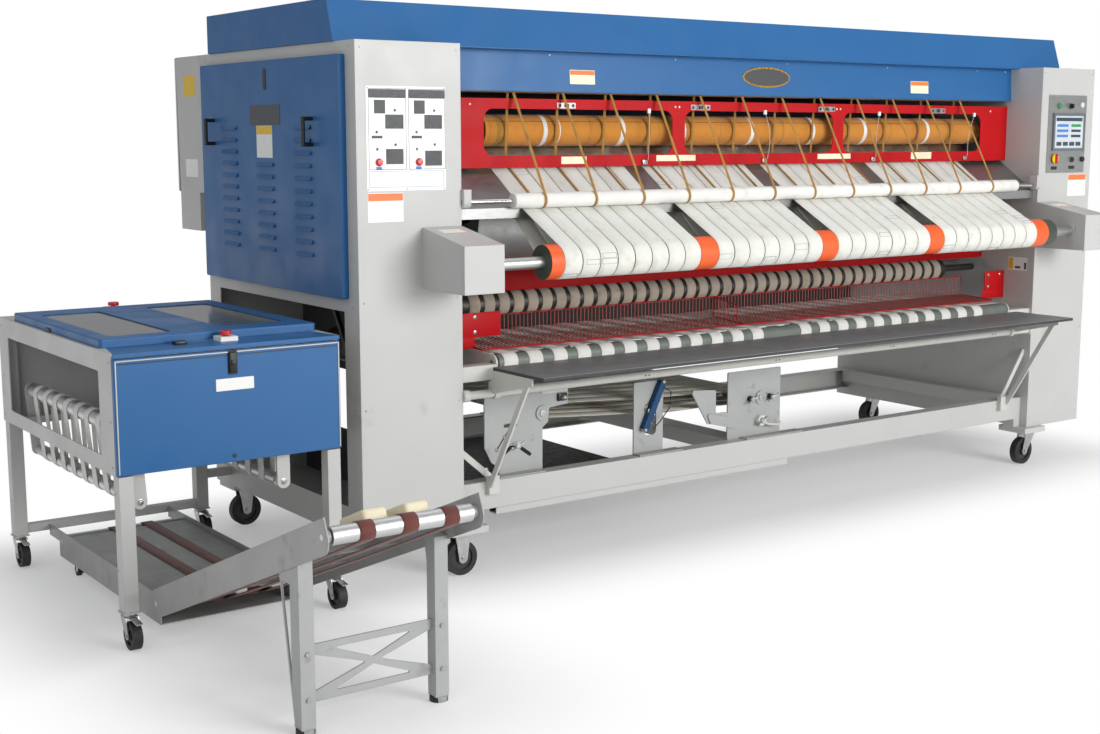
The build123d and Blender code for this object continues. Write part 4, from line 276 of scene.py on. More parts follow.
BACKING = surface("dark_red_shadow", (52, 18, 18), 0.7, mottle=0.1, mottle_size=0.1)
BLACK = surface("black_plastic", (22, 22, 23), 0.4, mottle=0.1, mottle_size=0.05, grain=0.0008, bump=0.25,
                edge=0.0008)
RUBBER = surface("black_rubber", (27, 27, 28), 0.62, mottle=0.15, mottle_size=0.03, grain=0.001, bump=0.4,
                 edge=0.001, dirt=(70, 68, 64), dirt_share=0.12)
HUB = surface("dark_hub", (54, 55, 56), 0.45, 0.3, 0.1, 0.02, edge=0.0008)
ROLL_COVER = woven("roll_cover_felt", (196, 128, 44), 0.002, 0.92, (178, 112, 40), 0.4, 0.05)
ORANGE = surface("orange_band", (232, 92, 34), 0.45, mottle=0.06, mottle_size=0.05, edge=0.001)
CANVAS = woven("apron_canvas_cloth", (222, 222, 214), 0.0016, 0.9, (205, 200, 186), 0.5, 0.03)
TAPE = woven("guide_tape_cloth", (160, 118, 48), 0.0012, 0.9, (120, 84, 34), 0.5, 0.1)
RIBBON = woven("exit_ribbon_cloth", (186, 174, 158), 0.0014, 0.92, (160, 140, 122), 0.5, 0.08)
BELTING = woven("white_belt_cloth", (224, 223, 218), 0.0012, 0.8, (202, 198, 188), 0.35, 0.03)
FOLD_BELT = woven("cream_belt_cloth", (206, 202, 190), 0.0012, 0.8, (176, 170, 154), 0.35, 0.05)
BROWN_BELT = woven("brown_belt_cloth", (98, 44, 34), 0.0012, 0.7, (74, 34, 28), 0.4, 0.08)
LACING = surface("belt_lacing", (150, 158, 166), 0.5, 0.4, 0.12, 0.01)
KHAKI = surface("khaki_slat_paint", (132, 120, 92), 0.5, mottle=0.08, mottle_size=0.06, edge=0.001)
CREAM = surface("cream_pad_foam", (232, 222, 192), 0.7, mottle=0.04, mottle_size=0.03, grain=0.002,
                bump=0.5, edge=0.003)
GREEN = surface("green_button", (24, 140, 70), 0.3, mottle=0.05, mottle_size=0.01, edge=0.0008, coat=0.3)
BUTTON_RED = surface("red_button", (196, 24, 30), 0.3, mottle=0.05, mottle_size=0.01, edge=0.001,
                     coat=0.3)
YELLOW = surface("yellow_plate", (226, 186, 30), 0.4, mottle=0.04, mottle_size=0.01, edge=0.0006)
ORANGE_PRINT = surface("orange_print", (226, 120, 60), 0.5, mottle=0.04, mottle_size=0.02)
WHITE = surface("white_plate", (232, 232, 228), 0.4, mottle=0.02, mottle_size=0.04, edge=0.0004)
CREAM_PLATE = surface("cream_plate", (236, 228, 196), 0.45, mottle=0.03, mottle_size=0.03, edge=0.0004)
GOLD = surface("gold_rim", (196, 154, 70), 0.3, 0.9, 0.08, 0.02, edge=0.0004)
BLUE_TUBE = surface("blue_anodised", (40, 74, 112), 0.3, 0.7, 0.08, 0.02, edge=0.001)
BLUE_MARK = surface("blue_print", (70, 120, 190), 0.5, mottle=0.04, mottle_size=0.02)
EMBOSSED = surface("dark_metal_plate", (74, 78, 82), 0.35, 0.8, 0.3, 0.006, 0.004, 0.6, 0.12, 0.0006)
SCREEN = surface("pale_display", (196, 204, 208), 0.15, mottle=0.05, mottle_size=0.05, coat=0.4)
SCREEN_DARK = surface("display_block", (52, 66, 78), 0.15, mottle=0.08, mottle_size=0.02, coat=0.4)
BEZEL = surface("grey_bezel", (98, 104, 110), 0.4, mottle=0.04, mottle_size=0.02, edge=0.0008)
LAMP = surface("clear_lamp", (206, 216, 214), 0.15, mottle=0.04, mottle_size=0.01, coat=0.5)
ROLLER_GREY = surface("grey_green_roller", (112, 119, 112), 0.5, 0.2, 0.1, 0.05, edge=0.0008)


def glass_material():
    shader = Shader("smoked_window")
    shader.set("Base Color", srgb(150, 152, 146))
    shader.set("Roughness", shader.cloud(shader.noise(0.05, 4.0), 0.05, 0.16))
    shader.set("Normal", shader.bump(shader.noise(0.06), 0.04, 0.002))
    shader.set("Transmission Weight", 0.85)
    shader.set("IOR", 1.3)
    return shader.material


GLASS = glass_material()

# ------------------------------------------------------------------ finishes of the CAD nodes


def paint(name, base, *rules):
    """Gives a node its finish. Each rule is (test, material), and the test sees the face's middle in
    the datum and its normal. The last rule that holds wins."""
    node = nodes[name]
    mesh = node.data
    mesh.materials.clear()
    mesh.materials.append(base)
    for _, material in rules:
        mesh.materials.append(material)
    for polygon in mesh.polygons:
        middle = datum(polygon.center)
        chosen = 0
        for index, (test, _) in enumerate(rules):
            if test(*middle, polygon.normal):
                chosen = index + 1
        polygon.material_index = chosen


def near(shaft, radius):
    """Faces within a radius of a shaft along X."""
    return lambda x, y, z, n: math.hypot(y - shaft[0], z - shaft[1]) < radius


def beyond(shaft, radius):
    """Faces farther than a radius from a shaft along X."""
    return lambda x, y, z, n: math.hypot(y - shaft[0], z - shaft[1]) > radius


def disc_at(shaft, x0, radius, half_width):
    """Faces of a wheel: within a radius of its shaft, and within half its width of x0."""
    return lambda x, y, z, n: math.hypot(y - shaft[0], z - shaft[1]) < radius and abs(x - x0) < half_width


def between(low, high):
    return lambda x, y, z, n: all(a <= v <= b for a, v, b in zip(low, (x, y, z), high))


# the X edges of the conveyor's slats, and the directions up along its incline and square off it
SLATS = ((-574, -504), (-450, -380))
INCLINE_RUN = Vector((0, -0.926, 0.377))
INCLINE_RISE = Vector((0, 0.377, 0.926))
# the air cylinder on the folder's centre plate, from its lower to its upper end, as (x, z)
AIR_CYLINDER = ((1279, 420), (1369, 601))
# heights of the cross folder's caster axles and of the ironer's wheel axles
CASTER_AXLE = 44.5
WHEEL_AXLE = 62.5


def above_incline(y, z):
    """How far a point lies above the line between the conveyor's corner and discharge rollers."""
    return (y - INCLINE_FOOT[0]) * INCLINE_RISE.y + (z - INCLINE_FOOT[1]) * INCLINE_RISE.z


def on_slat(x, y, z, n):
    return y < 5 and above_incline(y, z) > 17 and any(a - 0.5 < x < b + 0.5 for a, b in SLATS)


def on_air_cylinder(x, y, z, n):
    """The strip between the air cylinder's ends, in front of the centre plate."""
    (x0, z0), (x1, z1) = AIR_CYLINDER
    length = math.hypot(x1 - x0, z1 - z0)
    along = ((x - x0) * (x1 - x0) + (z - z0) * (z1 - z0)) / length
    across = ((x - x0) * (z1 - z0) - (z - z0) * (x1 - x0)) / length
    return y < 99 and abs(across) < 14 and -1 < along < length + 2 and not (n.y < -0.9 and y > 95)


# nodes of one finish
PLAIN = {
    "right_housing": GREY, "top_hood": BLUE, "feed_plate": SATIN, "delivery_bed": GREY_LIGHT,
    "shelf_supports": GREY_LIGHT, "start_button": GREEN, "stop_reset_button": BLACK, "selector_switch": BLACK,
    "crossfold_lid": BLUE, "lid_windows": GLASS, "crossfold_roller_upper": ALUMINIUM,
    "crossfold_roller_lower": ALUMINIUM, "crossfold_roller_right": ALUMINIUM,
    "conveyor_discharge_roller": ALUMINIUM, "conveyor_corner_roller": ALUMINIUM,
    "conveyor_tail_roller": ALUMINIUM, "stop_button_front": BUTTON_RED, "stop_button_rear": BUTTON_RED,
    "swivel_fork_front_right": ZINC, "swivel_fork_rear_right": ZINC, "exit_roller": IRON,
    "delivery_roller": ROLLER_GREY, "fold_roller_left": ALUMINIUM, "fold_roller_right": ALUMINIUM,
}


def on_crossfold_blue(x, y, z, n):
    """The cross folder's front flange and the strip on top in front of its lid."""
    return (y < -30.5 and z > 896) or (z > 909 and n.z > 0.9 and y < 100)


def on_button_base(x, y, z, n):
    return z > 909.5 and abs(x + 448) < 31 and (abs(y - 54) < 31 or abs(y - 1060) < 31)


def on_fixed_bar(x, y, z, n):
    """The bar over which the belts of the cross folder's right unit turn."""
    return math.hypot(x - CROSSFOLD_BAR[0], z - CROSSFOLD_BAR[1]) < 20.5 and 12 < y < 1000


def paint_ironer():
    paint("base_frame", GREY,
          # painted shade: the floor pan between the folder's plates is painted dark for the shadow inside the
          # machine
          (between((401, 90, 100), (1390, 1140, 330)), DARK_PAINT_AND_SHADE),
          (between((-100, -200, 0), (520, 200, 161)), ZINC),
          (between((-100, 1000, 0), (300, 1300, 161)), ZINC))
    # Painted shade: inner faces of the left housing take the dark shade grey
    paint("left_housing", GREY, (lambda x, y, z, n: x > 6 and n.x < -0.5 and y > 5, PAINTED_SHADE_GREY))
    paint("front_canopy", BLUE, (near(TAPE_BAR, 14), STEEL))
    # Painted shade: the rear cover's inner faces, seen through the finger guard, are painted dark
    paint("rear_cover", GREY, (lambda x, y, z, n: n.y < -0.5 and z < 1850, DARK_PAINT_AND_SHADE))
    paint("roll_guard", RED, (near(NIP_BAR, 7), STEEL))
    paint("heated_cylinder", POLISHED, (lambda x, y, z, n: x < 450, IRON))
    paint("roll_drive", DARK_PAINT_AND_SHADE, (between((0, 0, 0), (245, FAR, FAR)), IRON))
    paint("catch_shelf", SHELF, (lambda x, y, z, n: n.z < 0.5, SHELF_EDGE))
    paint("folder_brackets", FOLDER_GREY,
          (on_air_cylinder, BLUE_TUBE),
          (between((1871, 60, 360), (1931, 99, 415)), CHROME),
          (between((1831, 60, 465), (1861, 99, 496)), BLACK),
          (between((1943, 60, 465), (1971, 99, 496)), BLACK),
          (between((667, 60, 414), (699, 99, 446)), CHROME))
    paint("electric_cabinet", GREY, (between((-100, 1482.5, 0), (FAR, 1489, FAR)), RUBBER))
    paint("cabinet_door", GREY, (between((10, 1480, 1570), (46, 1510, 1610)), CHROME))
    paint("control_panel", SATIN,
          (lambda x, y, z, n: 3626 < x < 3866 and 1476 < z < 1650 and y < -4.1, BEZEL),
          (lambda x, y, z, n: 3638 < x < 3854 and 1488 < z < 1638 and n.y < -0.9 and y > -9.5, SCREEN),
          (between((3820, -13, 1673), (3850, -4.2, 1703)), LAMP),
          (between((3842, -13, 1422), (3872, -4.2, 1452)), BLACK))
    paint("main_switch", YELLOW, (lambda x, y, z, n: y < -13.3, BUTTON_RED))
    paint("left_end_panel", BLUE,
          (lambda x, y, z, n: x < -25.5 and z > 1500 and (y < 300 or y > 1000), BLACK),
          (between((-28, 600, 1700), (-24.5, 640, 1790)), BLACK),
          # painted shade: the end panel's inner face takes the dark shade grey
          (lambda x, y, z, n: x > -24 and n.x > 0.5, PAINTED_SHADE_GREY))
    paint("guide_roller", BELTING, (near(GUIDE_ROLLER, 10), CHROME))
    paint("pressure_roller", ROLL_COVER, (near(PRESSURE_ROLLER, 21), STEEL))
    paint("feed_roller", DARK_GREEN, (beyond(FEED_ROLLER, 58.6), ORANGE), (near(FEED_ROLLER, 21.5), STEEL))
    for name, x in (("front_left", 412), ("front_right", 3574), ("rear_left", 87), ("rear_right", 3725)):
        paint(f"wheel_{name}", RUBBER, (lambda x, y, z, n, c=x: math.hypot(x - c, z - WHEEL_AXLE) < 38, HUB))


def paint_crossfold():
    paint("crossfold_frame", GREY,
          (on_crossfold_blue, BLUE), (on_button_base, WHITE), (on_fixed_bar, STEEL))
    paint("crossfold_front_panel", BLUE, (between((-490, -52, 810), (-456, -47.5, 895)), BLACK))
    for side, x in (("left", -823), ("right", -127)):
        for end, y in (("front", -47), ("rear", 1057)):
            paint(f"crossfold_caster_{end}_{side}", ZINC,
                  (disc_at((y, CASTER_AXLE), x, 45, 15.2), RUBBER),
                  (disc_at((y, CASTER_AXLE), x, 27, 15.2), HUB))
    paint("conveyor_frame", GREY_TRAY,
          (on_slat, KHAKI),
          (lambda x, y, z, n: on_slat(x, y, z, n) and above_incline(y, z) > 28, CREAM))
    paint("conveyor_stand", FOLDER_GREY,
          (lambda x, y, z, n: z < 16.5, RUBBER),
          (lambda x, y, z, n: y < -966.5, ZINC))
    paint("tray_wheels", RUBBER, (near(TRAY_AXLE, 7), STEEL))


for plain_node, plain_finish in PLAIN.items():
    paint(plain_node, plain_finish)
paint_ironer()
paint_crossfold()

# ------------------------------------------------------------------ building blocks


def piece(name, mesh_builder, material, body="frame", replaces=(), smooth=35.0):
    """A mesh piece in the row frame that rides on a body."""
    mesh = bpy.data.meshes.new(name)
    mesh_builder.normal_update()
    mesh_builder.to_mesh(mesh)
    mesh_builder.free()
    materials = material if isinstance(material, (list, tuple)) else [material]
    for m in materials:
        mesh.materials.append(m)
    made = bpy.data.objects.new(name, mesh)
    bpy.context.scene.collection.objects.link(made)
    mesh.shade_smooth()
    mesh.set_sharp_from_angle(angle=math.radians(smooth))
    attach(made, body)
    if replaces:
        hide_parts(*replaces)


def add_box(bm, low, high, round_by=1.0):
    """A box between two datum corners, its edges rounded."""
    a, b = place(*low), place(*high)
    size = b - a
    matrix = Matrix.Translation((a + b) / 2) @ Matrix.Diagonal((*size, 1))
    verts = bmesh.ops.create_cube(bm, size=1, matrix=matrix)["verts"]
    width = min(round_by * MM, min(size) / 2.2)
    edges = list(dict.fromkeys(e for v in verts for e in v.link_edges))
    bmesh.ops.bevel(bm, geom=edges, offset=width, segments=2, profile=0.5, affect="EDGES")


def add_face(bm, corners, index=0):
    face = bm.faces.new(corners)
    face.material_index = index


def join_rings(bm, rings, index=0, closed=False):
    """Walls between neighbouring rings of the same number of corners."""
    count = len(rings[0])
    for first, second in zip(rings, rings[1:] + rings[:closed]):
        for i in range(count):
            j = (i + 1) % count
            add_face(bm, (first[i], first[j], second[j], second[i]), index)


def frame_for(normal, up=(0, 0, 1)):
    """Axes of a flat patch that looks along normal: right, up, out."""
    out = Vector(normal).normalized()
    up = Vector(up)
    if abs(out.dot(up)) > 0.95:
        up = Vector((0, 1, 0))
    right = up.cross(out).normalized()
    return right, out.cross(right), out


def add_prism(bm, centre, normal, outline, depth, index=0, up=(0, 0, 1), bevel=0.0):
    """A plate with a 2-D outline in mm, standing off a surface by its depth in mm."""
    right, upward, out = frame_for(normal, up)
    base = [bm.verts.new(centre + (right * u + upward * v) * MM) for u, v in outline]
    shrink = 1.0
    rings = [base]
    if bevel:
        span = max(max(abs(u), abs(v)) for u, v in outline)
        shrink = 1 - bevel / span
        rings.append([bm.verts.new(p.co + out * (depth - bevel) * MM) for p in base])
    top = centre + out * depth * MM
    rings.append([bm.verts.new(top + (right * u + upward * v) * shrink * MM) for u, v in outline])
    join_rings(bm, rings, index)
    add_face(bm, rings[-1], index)
    add_face(bm, list(reversed(base)), index)


def rounded_outline(width, height, corner, steps=5):
    points = []
    for cx, cy, start in ((1, 1, 0), (-1, 1, 90), (-1, -1, 180), (1, -1, 270)):
        for step in range(steps + 1):
            angle = math.radians(start + 90 * step / steps)
            points.append((cx * (width / 2 - corner) + corner * math.cos(angle),
                           cy * (height / 2 - corner) + corner * math.sin(angle)))
    return points


def oval_outline(radius, squeeze, steps=56):
    turns = [math.tau * i / steps for i in range(steps)]
    return [(radius * math.cos(turn), radius * squeeze * math.sin(turn)) for turn in turns]


def add_tube(bm, points, radius, sides=8, closed=False):
    """A round wire through points in the row frame, its radius in mm."""
    count = len(points)
    rings = []
    side = None
    for i, point in enumerate(points):
        before = points[i - 1] if i or closed else point
        after = points[(i + 1) % count] if i < count - 1 or closed else point
        along = (after - before).normalized()
        if side is None:
            side = along.orthogonal().normalized()
        else:
            side = (side - along * side.dot(along)).normalized()
        other = along.cross(side)
        ring = []
        for s in range(sides):
            angle = math.tau * s / sides
            spoke = side * math.cos(angle) + other * math.sin(angle)
            ring.append(bm.verts.new(point + spoke * radius * MM))
        rings.append(ring)
    join_rings(bm, rings, closed=closed)
    if not closed:
        add_face(bm, list(reversed(rings[0])))
        add_face(bm, rings[-1])


def add_lathe(bm, centre, axis, profile, steps):
    """A turned form: profile is (along the axis, radius) in mm from the centre."""
    right, upward, out = frame_for(axis)
    turns = [math.tau * i / steps for i in range(steps)]
    spokes = [right * math.cos(turn) + upward * math.sin(turn) for turn in turns]
    rings = []
    for along, radius in profile:
        middle = centre + out * along * MM
        if radius:
            rings.append([bm.verts.new(middle + spoke * radius * MM) for spoke in spokes])
        else:
            rings.append([bm.verts.new(middle)])
    for first, second in zip(rings, rings[1:]):
        for i in range(steps):
            j = (i + 1) % steps
            if len(first) == 1:
                corners = (first[0], second[j], second[i])
            elif len(second) == 1:
                corners = (first[i], first[j], second[0])
            else:
                corners = (first[i], first[j], second[j], second[i])
            add_face(bm, corners)


def add_screw(bm, centre, normal, radius, rise, washer=0.0):
    """A domed socket screw head, with a washer where one is wanted."""
    if washer:
        ring = [(0, washer), (0.9, washer), (1.1, washer - 0.3), (1.1, radius * 0.9)]
        add_lathe(bm, centre, normal, ring, 20)
    dome = ((0, 1), (0.45, 1), (0.85, 0.78), (1, 0.5), (1, 0.34), (0.4, 0.3), (0.4, 0))
    add_lathe(bm, centre, normal, [(rise * u, radius * v) for u, v in dome], 16)


# ------------------------------------------------------------------ belts, aprons, tapes and ribbons


def tangent(first, second):
    """The straight leg between two wheels (u, v, radius), each radius negative outside the loop."""
    along, up = second[0] - first[0], second[1] - first[1]
    heading = math.atan2(up, along) - math.asin((second[2] - first[2]) / math.hypot(along, up))
    side = (-math.sin(heading), math.cos(heading))
    return ((first[0] - side[0] * first[2], first[1] - side[1] * first[2]),
            (second[0] - side[0] * second[2], second[1] - side[1] * second[2]))


def loop_points(wheels, sag=None, leg_step=60.0):
    """Points and outward normals round a belt's middle line, anticlockwise. sag pushes the middle of
    each leg along v by so many mm."""
    arc_step = 9.0
    count = len(wheels)
    legs = [tangent(wheels[i], wheels[(i + 1) % count]) for i in range(count)]
    out = []
    for i, (u, v, radius) in enumerate(wheels):
        arrive, leave = legs[i - 1][1], legs[i][0]
        start = math.atan2(arrive[1] - v, arrive[0] - u)
        end = math.atan2(leave[1] - v, leave[0] - u)
        turn = (end - start) % math.tau if radius > 0 else -((start - end) % math.tau)
        steps = max(2, int(abs(math.degrees(turn)) / arc_step))
        for s in range(steps + 1):
            angle = start + turn * s / steps
            direction = (math.cos(angle), math.sin(angle))
            sign = 1 if radius > 0 else -1
            out.append((u + direction[0] * abs(radius), v + direction[1] * abs(radius),
                        direction[0] * sign, direction[1] * sign))
        (a, b), (c, d) = legs[i]
        length = math.hypot(c - a, d - b)
        normal = ((d - b) / length, -(c - a) / length)
        pieces = max(1, int(length / leg_step))
        drop = sag[i] if sag else 0.0
        for s in range(1, pieces):
            t = s / pieces
            out.append((a + (c - a) * t, b + (d - b) * t + drop * 4 * t * (1 - t), *normal))
    return out


def add_belt(bm, path, start, end, thickness, to_row, wander, crown=0.0):
    """One endless belt: path from loop_points, from start to end along its axis."""
    half = thickness / 2
    width = end - start
    edge = min(half * 0.8, width * 0.1)
    section = [(0, -half + edge), (edge, -half), (width / 2, -half), (width - edge, -half),
               (width, -half + edge), (width, half - edge), (width - edge, half), (width / 2, half + crown),
               (edge, half), (0, half - edge)]
    phase = random.uniform(0, math.tau)
    rings = []
    for k, (u, v, nu, nv) in enumerate(path):
        shift = wander * math.sin(phase + math.tau * 2 * k / len(path))
        rings.append([bm.verts.new(to_row(start + shift + a, u + nu * o, v + nv * o)) for a, o in section])
    count = len(section)
    for first, second in zip(rings, rings[1:] + rings[:1]):
        for s in range(count):
            t = (s + 1) % count
            add_face(bm, (first[s], second[s], second[t], first[t]))


def along_y(a, u, v):
    """A belt whose shafts run along Y. Its u is -X, so that it also turns anticlockwise."""
    return place(-u, a, v)


def wheel_y(shaft, radius):
    return (-shaft[0], shaft[1], radius)


def widen(wheels, by):
    return [(u, v, r + by) for u, v, r in wheels]


def build_aprons():
    """Thirty canvas aprons from the feed roller up to the nose bar, under the guide roller."""
    clearance = 27 + 2 * 0.4 + 1.5
    wheels = [(*FEED_ROLLER, 58.5), (*NOSE_BAR, 10.5), (*GUIDE_ROLLER, -clearance - 3.0)]
    path = loop_points(widen(wheels, 1.5), [-2.0, 0.0, 0.0], leg_step=40.0)
    bm = bmesh.new()
    lacing = bmesh.new()
    pitch, gap, side = 77, 86, 1.7
    x = LEFT_WALL + 262
    spans = []
    for count in (8, 7, 7, 8):
        for _ in range(count):
            spans.append((x + side, x + pitch - side))
            x += pitch
        x += gap
    for start, end in spans:
        add_belt(bm, path, start, end, 3.0, place, wander=0.25, crown=0.25)
        for _ in range(2):
            k = random.randrange(len(path))
            u, v, nu, nv = path[k]
            after = path[(k + 1) % len(path)]
            run = Vector((0, after[0] - u, after[1] - v)).normalized()
            centre = place((start + end) / 2 + random.uniform(-8, 8), u + nu * 1.7, v + nv * 1.7)
            long, wide = random.uniform(16, 22), random.uniform(26, 34)
            corners = [(-wide, -long / 2), (wide, -long / 2), (wide, long / 2), (-wide, long / 2)]
            for (a, b), (c, d) in zip(corners, corners[1:] + corners[:1]):
                first = centre + Vector((a * MM, 0, 0)) + run * b * MM
                second = centre + Vector((c * MM, 0, 0)) + run * d * MM
                add_tube(lacing, [first, second], 0.7, 6)
    piece("apron_belts", bm, CANVAS, replaces=["feed_aprons"], smooth=50)
    piece("apron_lacings", lacing, LACING)


def build_tapes():
    """Gold guide tapes looped over the tape bar, and the ribbons of the exit roller."""
    bm = bmesh.new()
    wheels = [(*GUIDE_ROLLER, 27.4), (*NIP_BAR, 5.4), (*TAPE_BAR, 12.4)]
    path = loop_points(widen(wheels, 0.75), leg_step=40.0)
    first, pitch = LEFT_WALL + 340, 223
    for tape in range(12):
        x = first + tape * pitch
        add_belt(bm, path, x - 6, x + 6, 1.5, place, wander=1.2)
    piece("guide_tapes", bm, TAPE, replaces=["guide_tapes_and_exit_ribbons"], smooth=50)
    bm = bmesh.new()
    wheels = [(*EXIT_ROLLER, 45.4), (*STRIPPER_BAR, 8.4)]
    path = loop_points(widen(wheels, 0.75), leg_step=25.0)
    start, end = LEFT_WALL + 199, RIGHT_WALL - 243
    count, pitch = 40, 66.3
    margin = (end - start - (count - 1) * pitch) / 2
    for ribbon in range(count):
        x = start + margin + ribbon * pitch
        add_belt(bm, path, x - 23, x + 23, 1.5, place, wander=0.4)
    piece("exit_ribbons", bm, RIBBON, smooth=50)
    bm = bmesh.new()
    length = RIGHT_WALL - LEFT_WALL
    bar = [(0, 0), (0, 7), (1, 8), (length - 1, 8), (length, 7), (length, 0)]
    add_lathe(bm, place(LEFT_WALL, *STRIPPER_BAR), RIGHT, bar, 20)
    piece("stripper_bar", bm, STEEL)


def build_delivery_belts():
    """White ribbons over the delivery bed and the wide transfer belt of the folder."""
    bm = bmesh.new()
    wheels = [(*DELIVERY_FRONT, 30.5), (*DELIVERY_BACK, 30.5)]
    path = loop_points(widen(wheels, 1.0), [-7.0, 0.0], leg_step=45.0)
    pitch = 109
    for first, count in ((213, 12), (1682, 11)):
        for belt in range(count):
            x = LEFT_WALL + first + belt * pitch
            add_belt(bm, path, x - 30, x + 30, 2.0, place, wander=0.6, crown=0.2)
    piece("delivery_belts", bm, BELTING, replaces=["delivery_and_folder_belts"],
          smooth=50)
    bm = bmesh.new()
    fold = [wheel_y(FOLD_RIGHT, 24.5), wheel_y(FOLD_LEFT, 24.5)]
    path = loop_points(widen(fold, 1.0), [-10.0, -3.0], leg_step=60.0)
    first, last, gap, strips = 139.0, 1091.0, 12, 10
    width = (last - first - (strips - 1) * gap) / strips
    for strip in range(strips):
        start = first + strip * (width + gap)
        add_belt(bm, path, start, start + width, 2.0, along_y, wander=0.5)
    piece("transfer_belts", bm, FOLD_BELT, smooth=50)


def build_crossfold_belts():
    """White belts of the cross folder's two units."""
    bm = bmesh.new()
    left = [wheel_y(CROSSFOLD_UPPER, 27.5), wheel_y(CROSSFOLD_LOWER, 20.5)]
    right = [wheel_y(CROSSFOLD_BAR, 20.5), wheel_y(CROSSFOLD_RIGHT, 20.5)]
    first, pitch, width = 110, 105, 40
    for wheels in (left, right):
        path = loop_points(widen(wheels, 1.25), leg_step=30.0)
        for belt in range(8):
            start = first + belt * pitch
            add_belt(bm, path, start, start + width, 2.5, along_y, wander=0.8, crown=0.3)
    piece("crossfold_white_belts", bm, BELTING, replaces=["crossfold_belts"], smooth=50)


def build_conveyor_belts():
    """Brown belts of the incline and of the tray."""
    bm = bmesh.new()
    incline = [(*INCLINE_TOP, 24.5), (*INCLINE_FOOT, 22.5)]
    tray = [(*INCLINE_FOOT, 22.5), (*TRAY_TAIL, 22.5)]
    tray_left, width = -720, 44
    for wheels, offsets in ((incline, (97, 221, 345)), (tray, (173, 297))):
        path = loop_points(widen(wheels, 1.25), [-5.0, 0.0], leg_step=50.0)
        for offset in offsets:
            start = tray_left + offset
            add_belt(bm, path, start, start + width, 2.5, place, wander=0.8, crown=0.3)
    piece("conveyor_brown_belts", bm, BROWN_BELT, replaces=["conveyor_belts"],
          smooth=50)


def build_slat_pads():
    """Thick cream foam blocks on the upper ends of the conveyor's slats."""
    along, slat_top = 1122, 22
    length, depth = 144.0, 34.0
    bm = bmesh.new()
    for low, high in SLATS:
        foot = place((low + high) / 2, *INCLINE_FOOT)
        centre = foot + (INCLINE_RUN * along + INCLINE_RISE * slat_top) * MM
        outline = rounded_outline(high - low + 3, length, 12)
        add_prism(bm, centre, INCLINE_RISE, outline, depth, up=INCLINE_RUN, bevel=6.0)
    piece("slat_pads", bm, CREAM)


build_aprons()
build_slat_pads()
build_tapes()
build_delivery_belts()
build_crossfold_belts()
build_conveyor_belts()

# ------------------------------------------------------------------ finger guard


def build_finger_guard():
    """A net of round red wires in two lengths, bent up at the back, with its end plates and bar."""
    wires = bmesh.new()
    edge = bmesh.new()
    left, right = LEFT_WALL + 150, RIGHT_WALL - 150
    front, back, lip, low, top = 112.0, 298.5, 789.0, 801.5, 884.0
    seam = 1822.0
    wire, rim, cross_wire = 1.6, 2.1, 0.8
    pitch, cross_pitch = 18.0, 23
    x = left + 8
    while x < right - 3:
        points = [place(x, front, lip), place(x, back - 5, low), place(x, back - 1, low + 4),
                  place(x, back, low + 9), place(x, back, top)]
        add_tube(wires, points, wire, 6)
        x += pitch
    rise = (low - lip) / (back - front)
    rows = [(front + step * cross_pitch, lip + rise * step * cross_pitch - 2.2) for step in range(8)]
    for y, z in rows + [(back - 2.4, low + 22)]:
        add_tube(wires, [place(left, y, z), place(right, y, z)], cross_wire, 6)
    for start, end in ((left, seam), (seam + 4, right)):
        loop = ((start, front, lip), (end, front, lip), (end, back, low), (end, back, top + 2),
                (start, back, top + 2), (start, back, low))
        add_tube(edge, [place(*corner) for corner in loop], rim, 8, closed=True)
    seam_front = front + 40
    seam_edge = [place(seam, seam_front, low), place(seam, seam_front, low + 62), place(seam, back, top + 2)]
    add_tube(edge, seam_edge, rim, 8)
    for step in range(1, 9):
        y = seam_front + (back - seam_front) * step / 9
        add_tube(wires, [place(seam, y, low), place(seam, y, low + 62 + 22 * step / 9)], wire, 6)
    add_tube(wires, [place(seam, seam_front, low + 16), place(seam, back, low + 16)], wire, 6)
    # The wires take the paler red, whose paleness is painted sheen
    piece("finger_guard_wires", wires, NET_RED_WITH_SHEEN, replaces=["finger_guard"])
    piece("finger_guard_frame", edge, RED)
    plates = bmesh.new()
    for low_x, high_x, half, bottom, top in (
            (LEFT_WALL, LEFT_WALL + 269, 2.0, 828, 917), (LEFT_WALL, LEFT_WALL + 158, 1.6, 789, 830),
            (RIGHT_WALL - 141, RIGHT_WALL, 2.0, 828, 917), (RIGHT_WALL - 158, RIGHT_WALL, 1.6, 789, 830)):
        add_box(plates, (low_x, 168 - half, bottom), (high_x, 168 + half, top))
    add_box(plates, (LEFT_WALL, 300, 972), (RIGHT_WALL, 304, 1060))
    piece("finger_guard_plates", plates, RED)
    screws = bmesh.new()
    for x, z in ((450, 900), (560, 900), (560, 846), (3430, 900), (3430, 846), (3510, 900)):
        add_screw(screws, place(x, 166, z), FRONT, 5.5, 2.6, washer=7.5)
    piece("finger_guard_screws", screws, ZINC)


build_finger_guard()

# ------------------------------------------------------------------ plates, labels and screws


def add_plate(name, centre, normal, width, height, face, corner=2.0, rise=0.5, bands=(), body="frame",
              up=(0, 0, 1)):
    """A bare plate stuck on a surface. bands are (bottom, top, material) in mm from its middle."""
    _, upward, out = frame_for(normal, up)
    made = bmesh.new()
    materials = [face]
    add_prism(made, centre, normal, rounded_outline(width, height, corner), rise, 0, up, bevel=0.25)
    for low, high, material in bands:
        materials.append(material)
        middle = centre + upward * ((low + high) / 2) * MM + out * rise * MM
        outline = rounded_outline(width - 3, high - low, 0.5)
        add_prism(made, middle, normal, outline, 0.12, len(materials) - 1, up)
    piece(name, made, materials, body)


